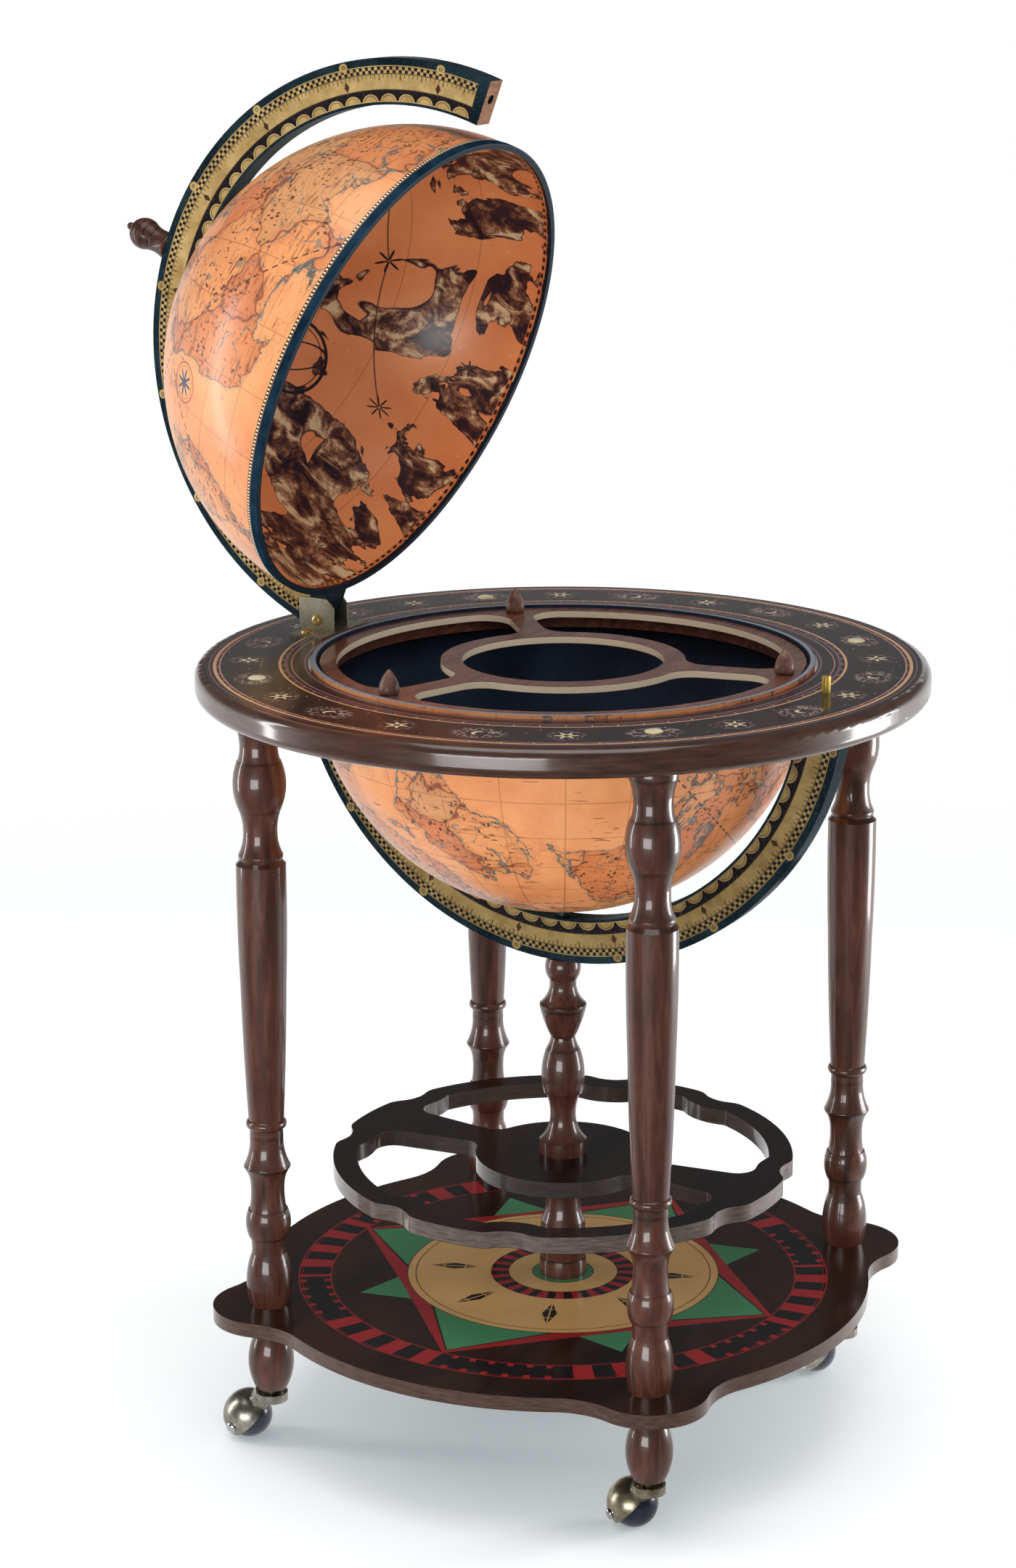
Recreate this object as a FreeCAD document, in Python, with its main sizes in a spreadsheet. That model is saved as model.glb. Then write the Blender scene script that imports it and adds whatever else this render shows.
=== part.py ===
import FreeCAD, Part
import math
import os
import re
import Sketcher

# Globe bar, in millimetres. The origin lies on the globe's axis at floor level, +X runs from the
# hinge to the catch and +Z is up. The lid is placed open, as it rests on its stop.

REST = "rest"
TRAY_SPOKES = 3

SIZES = {
    # Levels and layout of the stand
    "table_top": 656.2,
    "table_thick": 24.0,
    "board_top": 127.0,
    "board_thick": 12.0,
    "shelf_top": 234.0,
    "shelf_thick": 14.0,
    "foot_length": 62.5,
    "leg_offset": 251.2,
    # Clearances: fixed pins in their holes, turning pins, bodies that swing past each other, glue
    "fit_gap": 0.05,
    "run_gap": 0.08,
    "swing_gap": 0.3,
    "glue_gap": 0.1,
    # How far a cutting tool runs past what it cuts
    "overrun": 5.0,
    # Table ring and base board
    "table_radius": 297.0,
    "table_opening_gap": 2.6,
    "table_edge_round": 8.0,
    "board_radius": 257.0,
    "ear_radius": 47.0,
    "ear_blend": 60.0,
    # Bottle shelf
    "shelf_radius": 192.0,
    "shelf_band": 20.0,
    "notch_run": 22.0,
    "notch_radius": 30.0,
    "notch_angle": 16.5,
    "notch_blend": 20.0,
    "bump_blend": 6.0,
    "hub_radius": 73.0,
    "spoke_root_reach": 60.0,
    "spoke_root_half": 13.0,
    "spoke_end_lap": 4.1,
    "spoke_blend": 16.0,
    # Globe: bowl, lid and their linings
    "globe_rise": 2.9,
    "bowl_radius": 203.3,
    "bowl_drop": 4.1,
    "bowl_wall": 3.5,
    "lid_step": 3.3,
    "lid_wall": 3.6,
    "lining_thick": 0.7,
    "rim_gap": 0.5,
    "band_height": 7.0,
    "band_thick": 0.5,
    # Half rings of the meridian
    "arc_thick": 18.8,
    "arc_depth": 37.0,
    "lower_arc_gap": 15.0,
    "arc_seat_depth": 0.5,
    "upper_arc_gap": 7.4,
    "upper_arc_shift": 6.45,
    "upper_arc_rise": 10.8,
    "hinge_end_rise": 3.8,
    "catch_end_rise": 11.0,
    # Hinge
    "hinge_inset": 14.9,
    "hinge_rise": 10.2,
    "open_angle": 69.2,
    "knuckle_radius": 7.9,
    "pin_radius": 3.0,
    "plate_inner_run": 20.0,
    "plate_outer_run": 12.5,
    "plate_half_width": 35.0,
    "plate_thick": 2.0,
    "cheek_inner_run": 16.2,
    "cheek_outer_run": 17.2,
    "cheek_height": 26.8,
    "cheek_thick": 2.0,
    "cheek_clip_run": 6.0,
    "cheek_clip_drop": 7.4,
    "plate_screw_run": 1.5,
    "plate_screw_half_spread": 25.0,
    "plate_screw_hole_depth": 16.0,
    "hinge_nut_radius": 5.5,
    "hinge_nut_height": 3.0,
    "pin_tail": 1.0,
    # Catch
    "catch_inset": 9.4,
    "tongue_wide": 6.0,
    "tongue_thick": 4.0,
    "tongue_height": 13.0,
    "tongue_slot_wide": 1.8,
    "tongue_slot_height": 8.0,
    "tongue_slot_rise": 3.5,
    "tongue_stem_radius": 1.8,
    "tongue_stem_length": 10.0,
    "catch_hole_radius": 4.0,
    "catch_hole_depth": 8.0,
    # Serving tray, its ledge and knobs
    "tray_side_gap": 6.8,
    "tray_thick": 6.0,
    "tray_top_drop": 2.1,
    "tray_hole_radius": 82.0,
    "tray_collar": 17.0,
    "tray_border": 13.5,
    "kidney_blend": 24.0,
    "tray_spoke_half": 10.0,
    "tray_turn": 12.3,
    "knob_inset": 12.5,
    "knob_hole_depth": 5.2,
    "ledge_height": 9.0,
    "ledge_lap": 9.5,
    # Studs, rods, screws and dowels
    "stud_radius": 4.0,
    "stud_in_leg": 30.0,
    "stud_in_foot": 25.0,
    "leg_screw_radius": 2.5,
    "leg_screw_length": 58.0,
    "leg_screw_head_radius": 5.0,
    "leg_screw_head_height": 3.5,
    "counterbore_radius": 5.5,
    "counterbore_depth": 6.0,
    "cap_radius": 7.0,
    "cap_edge": 0.6,
    "cap_crown": 0.9,
    "cap_crown_radius": 5.6,
    "cap_plug_length": 1.6,
    "rod_radius": 4.0,
    "rod_bore_gap": 0.3,
    "rod_in_arc": 20.0,
    "rod_nut_radius": 7.5,
    "rod_nut_height": 6.5,
    "rod_washer_radius": 10.0,
    "rod_washer_thick": 2.0,
    "rod_tail": 2.5,
    "hole_slack": 0.2,
    "dowel_radius": 3.0,
    "dowel_in_arc": 15.0,
    "dowel_in_table": 8.0,
    "globe_screw_radius": 2.0,
    "bowl_screw_head_radius": 4.5,
    "bowl_screw_head_height": 2.5,
    "globe_screw_in_arc": 9.0,
    "bowl_spacer_radius": 6.0,
    "bowl_side_tilt": 104.0,
    "seat_gap": 0.1,
    "lid_spacer_radius": 7.0,
    "lid_side_tilt": 78.0,
    "lid_side_spacer_radius": 5.0,
    "slanted_seat_gap": 0.3,
    "pole_bolt_radius": 3.0,
    "pole_bolt_head_radius": 5.0,
    "pole_bolt_head_height": 3.0,
    "pole_bolt_in_finial": 24.0,
    "pole_washer_radius": 8.0,
    "pole_washer_thick": 1.2,
    "side_screw_head_radius": 3.5,
    "side_screw_head_height": 2.0,
    # Ball casters
    "wheel_radius": 19.3,
    "caster_trail": 27.8,
    "hood_gap": 0.6,
    "hood_wall": 2.0,
    "hood_turn": 55.0,
    "hood_lift": 43.0,
    "axle_tilt": 15.0,
    "axle_radius": 3.0,
    "axle_reach": 14.0,
    "axle_end_gap": 0.3,
    "cup_radius": 13.25,
    "cup_wall": 2.0,
    "cup_floor": 1.5,
    "cup_height": 7.0,
    "cup_drop": 4.5,
    "neck_radius": 5.75,
    "arm_radius": 9.0,
    "arm_length": 33.0,
    "stem_radius": 4.0,
    "stem_length": 28.8,
    "socket_wall": 2.0,
    "socket_length": 30.0,
    "socket_flange_radius": 7.5,
    "socket_flange_thick": 1.0,
}

# Each corner of the stand: the direction of its leg, and the direction in which its caster trails.
CORNERS = {
    "front_left": (-135.0, 168.0),
    "front_right": (-45.0, 143.0),
    "back_right": (45.0, 176.0),
    "back_left": (135.0, 155.0),
}


def turn(name, height, radius, swell=0.0):
    """A length of a turned outline: its height, its radius at the top and how far it swells out."""
    return {"name": name, "height": height, "radius": radius, "swell": swell}


def step(name, radius):
    """A flat shoulder in a turned outline, out or in to this radius."""
    return {"name": name, "radius": radius}


# Turned outlines, from the bottom up, each with the radius that it starts from. A radius is a
# number or a formula. The length whose height is REST takes what the others leave of the whole.
PROFILES = {
    "leg": (16.5, [
        turn("base_bulb", 45.0, 14.2, 3.6),
        turn("base_neck", 14.0, 14.8, -0.5),
        step("low_lip", 16.0),
        turn("low_bulb", 24.0, 16.2, 2.4),
        step("low_crease", 15.2),
        turn("low_waist", 24.0, 14.1, -0.9),
        turn("ring_under", 12.0, 18.6, -0.8),
        turn("ring_edge", 3.0, "leg_ring_under_radius", 0.6),
        turn("ring_cove", 24.0, 13.8, -1.6),
        turn("bead_neck", 7.0, 13.6),
        turn("bead", 8.0, 14.5, 2.6),
        turn("shaft_low", REST, 18.7, 0.5),
        turn("shaft_high", 102.0, 20.2, 0.6),
        turn("groove", 3.5, 17.0),
        turn("flare_ring", 4.5, 18.0, 0.5),
        turn("cove", 18.0, 13.8, -1.2),
        turn("neck", 19.0, 17.0, -1.0),
        turn("great_bulb", 40.0, 17.8, 4.0),
        step("bulb_crease", 17.2),
        turn("top_neck", 13.0, 15.2, -0.6),
        turn("capital", 19.0, 19.0, -0.8),
        turn("top_ring", 11.2, 17.4, 1.0),
    ]),
    "foot": (12.8, [
        turn("bulb", 45.5, 14.2, 5.4),
        turn("neck", REST, 13.0, -0.4),
    ]),
    "low_column": (19.9, [
        turn("block", 14.0, 19.3, 0.3),
        step("crease", 18.6),
        turn("barrel", 33.0, 18.4, 0.9),
        turn("neck", REST, 14.5, -1.2),
        turn("capital", 24.0, 19.0, -0.8),
    ]),
    "high_column": ("high_column_block_radius", [
        turn("block", 12.0, 19.7, 0.2),
        turn("cove", 20.0, 10.8, -2.2),
        turn("waist", 21.0, 14.6, -1.2),
        step("lip", 16.0),
        turn("bulb", REST, 14.1, 2.9),
        turn("pinch", 11.0, 10.0, -0.6),
        turn("cone", 24.0, 18.9, 0.8),
        turn("cone_edge", 4.5, 19.4, 0.3),
        turn("flare", 15.0, 11.1, -1.6),
        turn("neck", 6.0, 11.3, -0.2),
        turn("ball", 18.8, 13.0, 2.6),
    ]),
    "finial": (11.4, [
        turn("base", 4.0, 11.2, 0.3),
        turn("cove", 12.0, 10.4, -0.6),
        turn("flare", 7.0, 12.6, -0.3),
        turn("ball", 17.4, 3.6, 4.0),
        step("tip_crease", 2.4),
        turn("tip", 5.6, 0.8, 1.6),
    ]),
    "knob": ("knob_spigot_radius", [
        turn("spigot", 5.0, 2.5),
        step("base", 6.5),
        turn("roll", 5.0, 8.2, 0.8),
        turn("body", 11.0, 4.2, 1.2),
        turn("tip", 4.0, 0.8, 1.2),
    ]),
    "plate_screw": (0.5, [
        turn("point", 3.0, 1.6),
        turn("shank", 11.0, "plate_screw_point_radius"),
        step("head", 4.0),
        turn("dome", 2.4, 1.4, 0.6),
    ]),
    "hinge_pin": (1.6, [
        turn("dome", 2.4, 4.85, 0.7),
        step("shoulder", "pin_radius"),
        turn("shank", REST, "pin_radius"),
    ]),
    "axle": ("axle_radius", [
        turn("rod", REST, "axle_radius"),
        step("cap", 4.75),
        turn("cap_edge", 0.8, "axle_cap_radius"),
        turn("cap_dome", 1.8, 1.6, 0.5),
    ]),
}

# Whole heights of the outlines that hold a REST.
WHOLES = {
    "leg": "table_bottom - board_top",
    "foot": "foot_length",
    "low_column": "shelf_bottom - board_top",
    "high_column": "arc_seat - shelf_top",
    "hinge_pin": "hinge_pin_dome_height + cheek_gap + 2 * cheek_thick + hinge_nut_height + pin_tail",
    "axle": "axle_reach + axle_seat + axle_cap_edge_height + axle_cap_dome_height",
}

# Sizes that follow from the driving sizes.
WORKED = {
    "table_bottom": "table_top - table_thick",
    "board_bottom": "board_top - board_thick",
    "shelf_bottom": "shelf_top - shelf_thick",
    "foot_bottom": "board_bottom - foot_length",
    "globe_plane": "table_top + globe_rise",
    "lid_plane": "globe_plane + rim_gap",
    "bowl_centre": "globe_plane - bowl_drop",
    "bowl_inner": "bowl_radius - bowl_wall",
    "bowl_lining_outer": "bowl_inner - glue_gap",
    "bowl_lining_inner": "bowl_lining_outer - lining_thick",
    "bowl_rim_angle": "asin(bowl_drop / bowl_radius) / 1 deg",
    "bowl_lining_rim_angle": "asin(bowl_drop / bowl_lining_outer) / 1 deg",
    "table_opening": "bowl_radius + table_opening_gap",
    "lid_radius": "bowl_radius - lid_step",
    "lid_inner": "lid_radius - lid_wall",
    "lid_lining_outer": "lid_inner - glue_gap",
    "lid_lining_inner": "lid_lining_outer - lining_thick",
    "band_inner": "lid_radius + glue_gap",
    "band_outer": "band_inner + band_thick",
    "band_angle": "asin(band_height / band_outer) / 1 deg",
    "shelf_inner": "shelf_radius - shelf_band",
    "notch_offset": "shelf_radius + notch_run",
    "bump_radius": "notch_radius + shelf_band",
    "bump_reach": "notch_offset * cos(notch_angle) - shelf_inner",
    "bump_crossing": "notch_offset * sin(notch_angle) - sqrt(bump_radius ^ 2 - bump_reach ^ 2)",
    "spoke_end_half": "bump_crossing + spoke_end_lap",
    "lower_arc_inner": "bowl_radius + lower_arc_gap",
    "lower_arc_radius": "lower_arc_inner + arc_depth",
    "arc_seat": "globe_plane - lower_arc_radius + arc_seat_depth",
    "globe_screw_hole": "globe_screw_radius + fit_gap",
    "arc_cut_wide": "arc_thick + 2 * overrun",
    "lower_arc_middle": "lower_arc_radius - arc_depth / 2",
    "upper_arc_inner": "lid_radius + upper_arc_gap",
    "upper_arc_radius": "upper_arc_inner + arc_depth",
    "upper_arc_plane": "table_top + upper_arc_rise",
    "upper_arc_bottom": "upper_arc_plane - upper_arc_radius - overrun",
    "upper_arc_top": "upper_arc_plane + upper_arc_radius",
    "hinge_end": "table_top + hinge_end_rise",
    "catch_end": "table_top + catch_end_rise",
    "hinge_offset": "upper_arc_radius - hinge_inset",
    "hinge_x": "-hinge_offset",
    "hinge_z": "table_top + hinge_rise",
    "plate_top": "table_top + plate_thick",
    "plate_inner_reach": "hinge_offset - plate_inner_run",
    "plate_outer_reach": "hinge_offset + plate_outer_run",
    "cheek_gap": "arc_thick + 2 * swing_gap",
    "cheek_half_gap": "cheek_gap / 2",
    "cheek_outer_face": "cheek_half_gap + cheek_thick",
    "cheek_near_x": "-(hinge_offset - cheek_inner_run)",
    "cheek_far_x": "-(hinge_offset + cheek_outer_run)",
    "cheek_clip_x": "cheek_near_x - cheek_clip_run",
    "cheek_top": "plate_top + cheek_height",
    "cheek_clip_z": "cheek_top - cheek_clip_drop",
    "plate_screw_x": "-(hinge_offset + plate_screw_run)",
    "plate_screw_back": "-plate_screw_half_spread",
    "catch_reach": "upper_arc_radius - catch_inset",
    "dowel_back": "-lower_arc_middle",
    "tray_radius": "bowl_radius - tray_side_gap",
    "kidney_inner": "tray_hole_radius + tray_collar",
    "kidney_outer": "tray_radius - tray_border",
    "knob_offset": "tray_radius - knob_inset",
    "ledge_opening": "tray_radius - ledge_lap",
    "tray_top": "globe_plane - tray_top_drop",
    "tray_bottom": "tray_top - tray_thick",
    "ledge_outer": "bowl_lining_inner - glue_gap",
    "ledge_top_angle": "asin((tray_bottom - bowl_centre) / ledge_outer) / 1 deg",
    "ledge_low_angle": "asin((tray_bottom - ledge_height - bowl_centre) / ledge_outer) / 1 deg",
    "tray_half_share": "180 / %d" % TRAY_SPOKES,
    "kidney_inner_angle": "tray_half_share - asin(tray_spoke_half / kidney_inner) / 1 deg",
    "kidney_outer_angle": "tray_half_share - asin(tray_spoke_half / kidney_outer) / 1 deg",
    "kidney_inner_x": "kidney_inner * cos(kidney_inner_angle)",
    "kidney_inner_y": "kidney_inner * sin(kidney_inner_angle)",
    "kidney_inner_back": "-kidney_inner_y",
    "kidney_outer_x": "kidney_outer * cos(kidney_outer_angle)",
    "kidney_outer_y": "kidney_outer * sin(kidney_outer_angle)",
    "kidney_outer_back": "-kidney_outer_y",
    "kidney_outer_swell": "kidney_outer - kidney_outer_x",
    "kidney_inner_swell": "kidney_inner_x - kidney_inner",
    "spoke_root_back": "-spoke_root_half",
    "spoke_end_back": "-spoke_end_half",
    "stud_length": "stud_in_leg + board_thick + stud_in_foot",
    "stud_bore": "stud_radius + fit_gap",
    "stud_leg_bore_depth": "stud_in_leg + hole_slack",
    "stud_foot_bore_depth": "stud_in_foot + hole_slack",
    "screw_seat": "table_top - counterbore_depth",
    "leg_screw_bore": "leg_screw_radius + fit_gap",
    "leg_screw_bore_depth": "leg_screw_length - (screw_seat - table_bottom) + hole_slack",
    "cap_plug_radius": "counterbore_radius - glue_gap",
    "rod_bore": "rod_radius + rod_bore_gap",
    "rod_hole": "rod_radius + fit_gap",
    "rod_bottom": "board_bottom - rod_washer_thick - rod_nut_height - rod_tail",
    "dowel_hole": "dowel_radius + fit_gap",
    "dowel_table_depth": "dowel_in_table + hole_slack",
    "plate_screw_hole": "plate_screw_point_radius + fit_gap",
    "stem_hole": "tongue_stem_radius + fit_gap",
    "stem_hole_depth": "tongue_stem_length + hole_slack",
    "knob_hole": "knob_spigot_radius + fit_gap",
    "knob_x": "knob_offset * cos(tray_half_share)",
    "knob_y": "knob_offset * sin(tray_half_share)",
    "tray_angle": "tray_turn + tray_half_share",
    "socket_bore": "stem_radius + run_gap",
    "socket_radius": "socket_bore + socket_wall",
    "socket_hole": "socket_radius + fit_gap",
    "socket_hole_depth": "socket_length + hole_slack",
    "neck_top": "foot_bottom - socket_flange_thick - swing_gap",
    "cup_top": "foot_bottom - cup_drop",
    "cup_bottom": "cup_top - cup_height",
    "hood_inner": "wheel_radius + hood_gap",
    "hood_outer": "hood_inner + hood_wall",
    "axle_seat": "sqrt(hood_outer ^ 2 - axle_radius ^ 2) + seat_gap",
    "wheel_bore": "axle_radius + run_gap",
    "wheel_bore_reach": "axle_reach + axle_end_gap",
    "arm_angle": "atan2(caster_trail; cup_bottom - wheel_radius) / 1 deg",
    "lid_pole_spacer_top": "upper_arc_plane + sqrt(upper_arc_inner ^ 2"
                           " - (upper_arc_shift + lid_spacer_radius) ^ 2)",
    "lid_side_rise": "upper_arc_plane - lid_plane",
    "lid_side_along": "lid_side_rise * cos(lid_side_tilt) - upper_arc_shift * sin(lid_side_tilt)",
    "lid_side_across": "lid_side_rise * sin(lid_side_tilt) + upper_arc_shift * cos(lid_side_tilt)",
    "lid_side_arc_face": "lid_side_along + sqrt(upper_arc_inner ^ 2 - lid_side_across ^ 2)",
}


def add_radius(name, radius):
    """A radius is a driving size if it is a number, and follows from others if it is a formula."""
    home = WORKED if isinstance(radius, str) else SIZES
    home[name] = radius


def add_profile_cells(prefix, start, lengths):
    """Give the sheet the sizes of a turned outline, and work out the level of each corner."""
    add_radius(prefix + "_start", start)
    heights = []
    for length in lengths:
        name = prefix + "_" + length["name"]
        add_radius(name + "_radius", length["radius"])
        if "height" not in length:
            continue
        heights.append(name + "_height")
        if length["height"] != REST:
            SIZES[name + "_height"] = length["height"]
        if length["swell"]:
            SIZES[name + "_swell"] = length["swell"]
    level = ""
    for length in lengths:
        name = prefix + "_" + length["name"]
        if length.get("height") == REST:
            others = [height for height in heights if height != name + "_height"]
            WORKED[name + "_height"] = WHOLES[prefix] + " - (" + " + ".join(others) + ")"
        if "height" in length:
            WORKED[name + "_level"] = (level + " + " if level else "") + name + "_height"
            level = name + "_level"
        length["level"] = level


for prefix, (start, lengths) in PROFILES.items():
    add_profile_cells(prefix, start, lengths)
for corner, (leg_angle, trail_angle) in CORNERS.items():
    SIZES[corner + "_angle"] = leg_angle
    SIZES[corner + "_trail"] = trail_angle
    WORKED[corner + "_x"] = "leg_offset * cos(" + corner + "_angle)"
    WORKED[corner + "_y"] = "leg_offset * sin(" + corner + "_angle)"
# The bores in the turned legs end below their tops.
WORKED["leg_top_bore_level"] = "leg_top_ring_level - leg_screw_bore_depth"
WORKED["foot_top_bore_level"] = "foot_neck_level - stud_foot_bore_depth"
WORKED["finial_bore_depth"] = "pole_bolt_in_finial + hole_slack"
WORKED["pole_bolt_hole"] = "pole_bolt_radius + fit_gap"

doc = FreeCAD.newDocument("globe_bar")
sizes = doc.addObject("Spreadsheet::Sheet", "sizes")
worked = doc.addObject("Spreadsheet::Sheet", "worked")


def cells(formula, home="sizes"):
    """Name the sheet of every size in a formula, except the sheet that the formula stands in."""
    def named(match):
        word = match.group(0)
        if word in SIZES:
            return "sizes." + word
        if word in WORKED and home != "worked":
            return "worked." + word
        return word
    return re.sub(r"[a-z][a-z_]*", named, formula)


def fill(sheet, rows):
    """Write names and contents side by side, and give each content its name as an alias."""
    for row, (alias, content) in enumerate(rows, start=1):
        sheet.set("A%d" % row, alias)
        sheet.set("B%d" % row, content)
        sheet.setAlias("B%d" % row, alias)


fill(sizes, [(alias, str(value)) for alias, value in SIZES.items()])
fill(worked, [(alias, "=" + cells(formula, "worked")) for alias, formula in WORKED.items()])
doc.recompute()


def number(alias):
    """The value of a size, for the first draft of a sketch. An empty name is zero."""
    if not alias:
        return 0.0
    return float((sizes if alias in SIZES else worked).get(alias))


def bind(item, path, formula):
    item.setExpression(path, cells(formula))


def place(item, x="0", y="0", z="0", axis="0; 0; 1", angle="0"):
    """Put an object at a place, turned about an axis: every value is a formula."""
    bind(item, "Placement", "placement(vector(%s; %s; %s); rotation(vector(%s); %s))"
         % (x, y, z, axis, angle))
    return item


def open_with_lid(item, x="0", z="0"):
    """Swing an object of the lid, whose place when closed is (x, 0, z), open about the hinge."""
    reach = "(%s - hinge_x)" % x
    rise = "(%s - hinge_z)" % z
    opened_x = "hinge_x + " + reach + " * cos(open_angle) - " + rise + " * sin(open_angle)"
    opened_z = "hinge_z + " + reach + " * sin(open_angle) + " + rise + " * cos(open_angle)"
    return place(item, opened_x, "0", opened_z, "0; 1; 0", "-open_angle")


# Part primitives and booleans

def solid(kind, name, x="0", y="0", z="0", axis="0; 0; 1", angle="0", **lengths):
    """A Part primitive whose sizes and place are formulas."""
    item = doc.addObject("Part::" + kind, name)
    for size, formula in lengths.items():
        bind(item, size, formula)
    return place(item, x, y, z, axis, angle)


def radial_rod(name, centre_z, tilt, start, end, radius):
    """A rod along a radius of the globe, tilted from straight up towards +X."""
    return solid("Cylinder", name, "(%s) * sin(%s)" % (start, tilt), "0",
                 "%s + (%s) * cos(%s)" % (centre_z, start, tilt), "0; 1; 0", tilt,
                 Radius=radius, Height="(%s) - (%s)" % (end, start))


def combine(kind, name, items):
    """Part::MultiFuse, Part::MultiCommon or Part::Compound of several objects."""
    item = doc.addObject("Part::" + kind, name)
    links = "Links" if kind == "Compound" else "Shapes"
    setattr(item, links, items)
    return item


def cut(name, base, tools):
    """The base less one or several tools."""
    item = doc.addObject("Part::Cut", name)
    item.Base = base
    item.Tool = tools[0] if len(tools) == 1 else combine("MultiFuse", name + "_tools", tools)
    return item


# Bodies, sketches and their features

def plane(body, role):
    return next(item for item in body.Origin.OriginFeatures if item.Role == role)


def new_sketch(body, name, role="XY_Plane", level="0"):
    """A sketch on one of the body's own planes, raised to a level along its normal."""
    sketch = body.newObject("Sketcher::SketchObject", name)
    sketch.AttachmentSupport = (plane(body, role), "")
    sketch.MapMode = "FlatFace"
    bind(sketch, "AttachmentOffset.Base.z", level)
    return sketch


def pin_point(sketch, geometry, end, x, y):
    """Hold a point of a sketch at the cells x and y. An empty name puts it on the axis."""
    held = []
    for name, kind, axis in ((x, "DistanceX", -2), (y, "DistanceY", -1)):
        if name:
            constraint = Sketcher.Constraint(kind, -1, 1, geometry, end, number(name))
            sketch.setExpression("Constraints[%d]" % sketch.addConstraint(constraint), cells(name))
        else:
            held.append(Sketcher.Constraint("PointOnObject", geometry, end, axis))
    sketch.addConstraint(held)


def hold_radius(sketch, geometry, formula, value):
    index = sketch.addConstraint(Sketcher.Constraint("Radius", geometry, value))
    sketch.setExpression("Constraints[%d]" % index, cells(formula))


def draw_circles(sketch, spots):
    """Circles, each given by the cells of its centre and its radius."""
    for x, y, radius in spots:
        centre = FreeCAD.Vector(number(x), number(y), 0)
        circle = Part.Circle(centre, FreeCAD.Vector(0, 0, 1), number(radius))
        geometry = sketch.addGeometry(circle, False)
        pin_point(sketch, geometry, 3, x, y)
        hold_radius(sketch, geometry, radius, number(radius))
    return sketch


def arc_through(start, end, swell):
    """An arc that bulges by swell to the right of its way, and whether it starts at the start."""
    chord = end - start
    right = FreeCAD.Vector(chord.y, -chord.x, 0).normalize()
    radius = (chord.Length ** 2 / 4 + swell ** 2) / (2 * swell)
    centre = (start + end) * 0.5 + right * (swell - radius)
    angles = [math.atan2(point.y - centre.y, point.x - centre.x) for point in (start, end)]
    forward = swell > 0
    if not forward:
        angles.reverse()
    circle = Part.Circle(centre, FreeCAD.Vector(0, 0, 1), abs(radius))
    return Part.ArcOfCircle(circle, *angles), forward, abs(radius)


def draw_outline(sketch, corners):
    """A closed outline. A corner is (x, y, swell): cells, the last that of the edge after it."""
    points = [FreeCAD.Vector(number(x), number(y), 0) for x, y, swell in corners]
    edges = []
    for index, (x, y, swell) in enumerate(corners):
        follower = (index + 1) % len(corners)
        if swell:
            arc, forward, radius = arc_through(points[index], points[follower], number(swell))
            geometry = sketch.addGeometry(arc, False)
            edges.append((geometry, 1, 2) if forward else (geometry, 2, 1))
        else:
            geometry = sketch.addGeometry(Part.LineSegment(points[index], points[follower]), False)
            edges.append((geometry, 1, 2))
    joints = []
    for index, (geometry, begin, end) in enumerate(edges):
        next_geometry, next_begin, next_end = edges[(index + 1) % len(edges)]
        joints.append(Sketcher.Constraint("Coincident", geometry, end, next_geometry, next_begin))
    sketch.addConstraint(joints)
    for (x, y, swell), (geometry, begin, end) in zip(corners, edges):
        pin_point(sketch, geometry, begin, x, y)
    for index, (x, y, swell) in enumerate(corners):
        if not swell:
            continue
        next_x, next_y, next_swell = corners[(index + 1) % len(corners)]
        run = "((%s) - (%s)) ^ 2 + ((%s) - (%s)) ^ 2" % (next_x or "0", x or "0", next_y or "0", y or "0")
        formula = "(%s) / (8 * abs(%s)) + abs(%s) / 2" % (run, swell, swell)
        chord = points[(index + 1) % len(points)] - points[index]
        sagitta = abs(number(swell))
        hold_radius(sketch, edges[index][0], formula, chord.Length ** 2 / (8 * sagitta) + sagitta / 2)
    return sketch


def feature(body, kind, name, profile):
    item = body.newObject("PartDesign::" + kind, name)
    item.Profile = profile
    return item


def pad(body, name, sketch, length, symmetric=False):
    item = feature(body, "Pad", name, sketch)
    bind(item, "Length", length)
    if symmetric:
        item.SideType = "Symmetric"
    return item


CUTS = []


def pocket(body, name, sketch, depth, upward=False):
    """A pocket down into the body, or up into it from below."""
    item = feature(body, "Pocket", name, sketch)
    bind(item, "Length", depth)
    item.Reversed = upward
    CUTS.append(item)
    return item


def drill(body, name, spots, level, depth, upward=False):
    """Round holes from a level down or up: each spot is the cells of x, y and the radius."""
    sketch = draw_circles(new_sketch(body, name + "_spots", level=level), spots)
    return pocket(body, name, sketch, depth, upward)


def repeat(body, original, count):
    """Copies of a feature all the way round the vertical axis."""
    pattern = body.newObject("PartDesign::PolarPattern", original.Name + "_all")
    pattern.Originals = [original]
    pattern.Axis = (plane(body, "Z_Axis"), [""])
    pattern.Angle = 360
    pattern.Occurrences = count
    body.Tip = pattern
    return pattern


def round_edges(body, name, radius, wanted):
    """Fillet the edges of the body so far that the test picks."""
    doc.recompute()
    base = body.Tip
    names = ["Edge%d" % index for index, edge in enumerate(base.Shape.Edges, start=1)
             if wanted(edge)]
    if not names:
        raise ValueError("no edge found for " + name)
    item = body.newObject("PartDesign::Fillet", name)
    item.Base = (base, names)
    bind(item, "Radius", radius)
    return item


def upright(edge):
    """True for a straight edge along Z."""
    if len(edge.Vertexes) != 2:
        return False
    rise = edge.Vertexes[1].Point - edge.Vertexes[0].Point
    return rise.Length > 0.1 and abs(abs(rise.z) - rise.Length) < 1e-6


def from_axis(edge):
    middle = edge.CenterOfMass
    return math.hypot(middle.x, middle.y)


def near(value, target):
    return abs(value - target) < 1e-3


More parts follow.
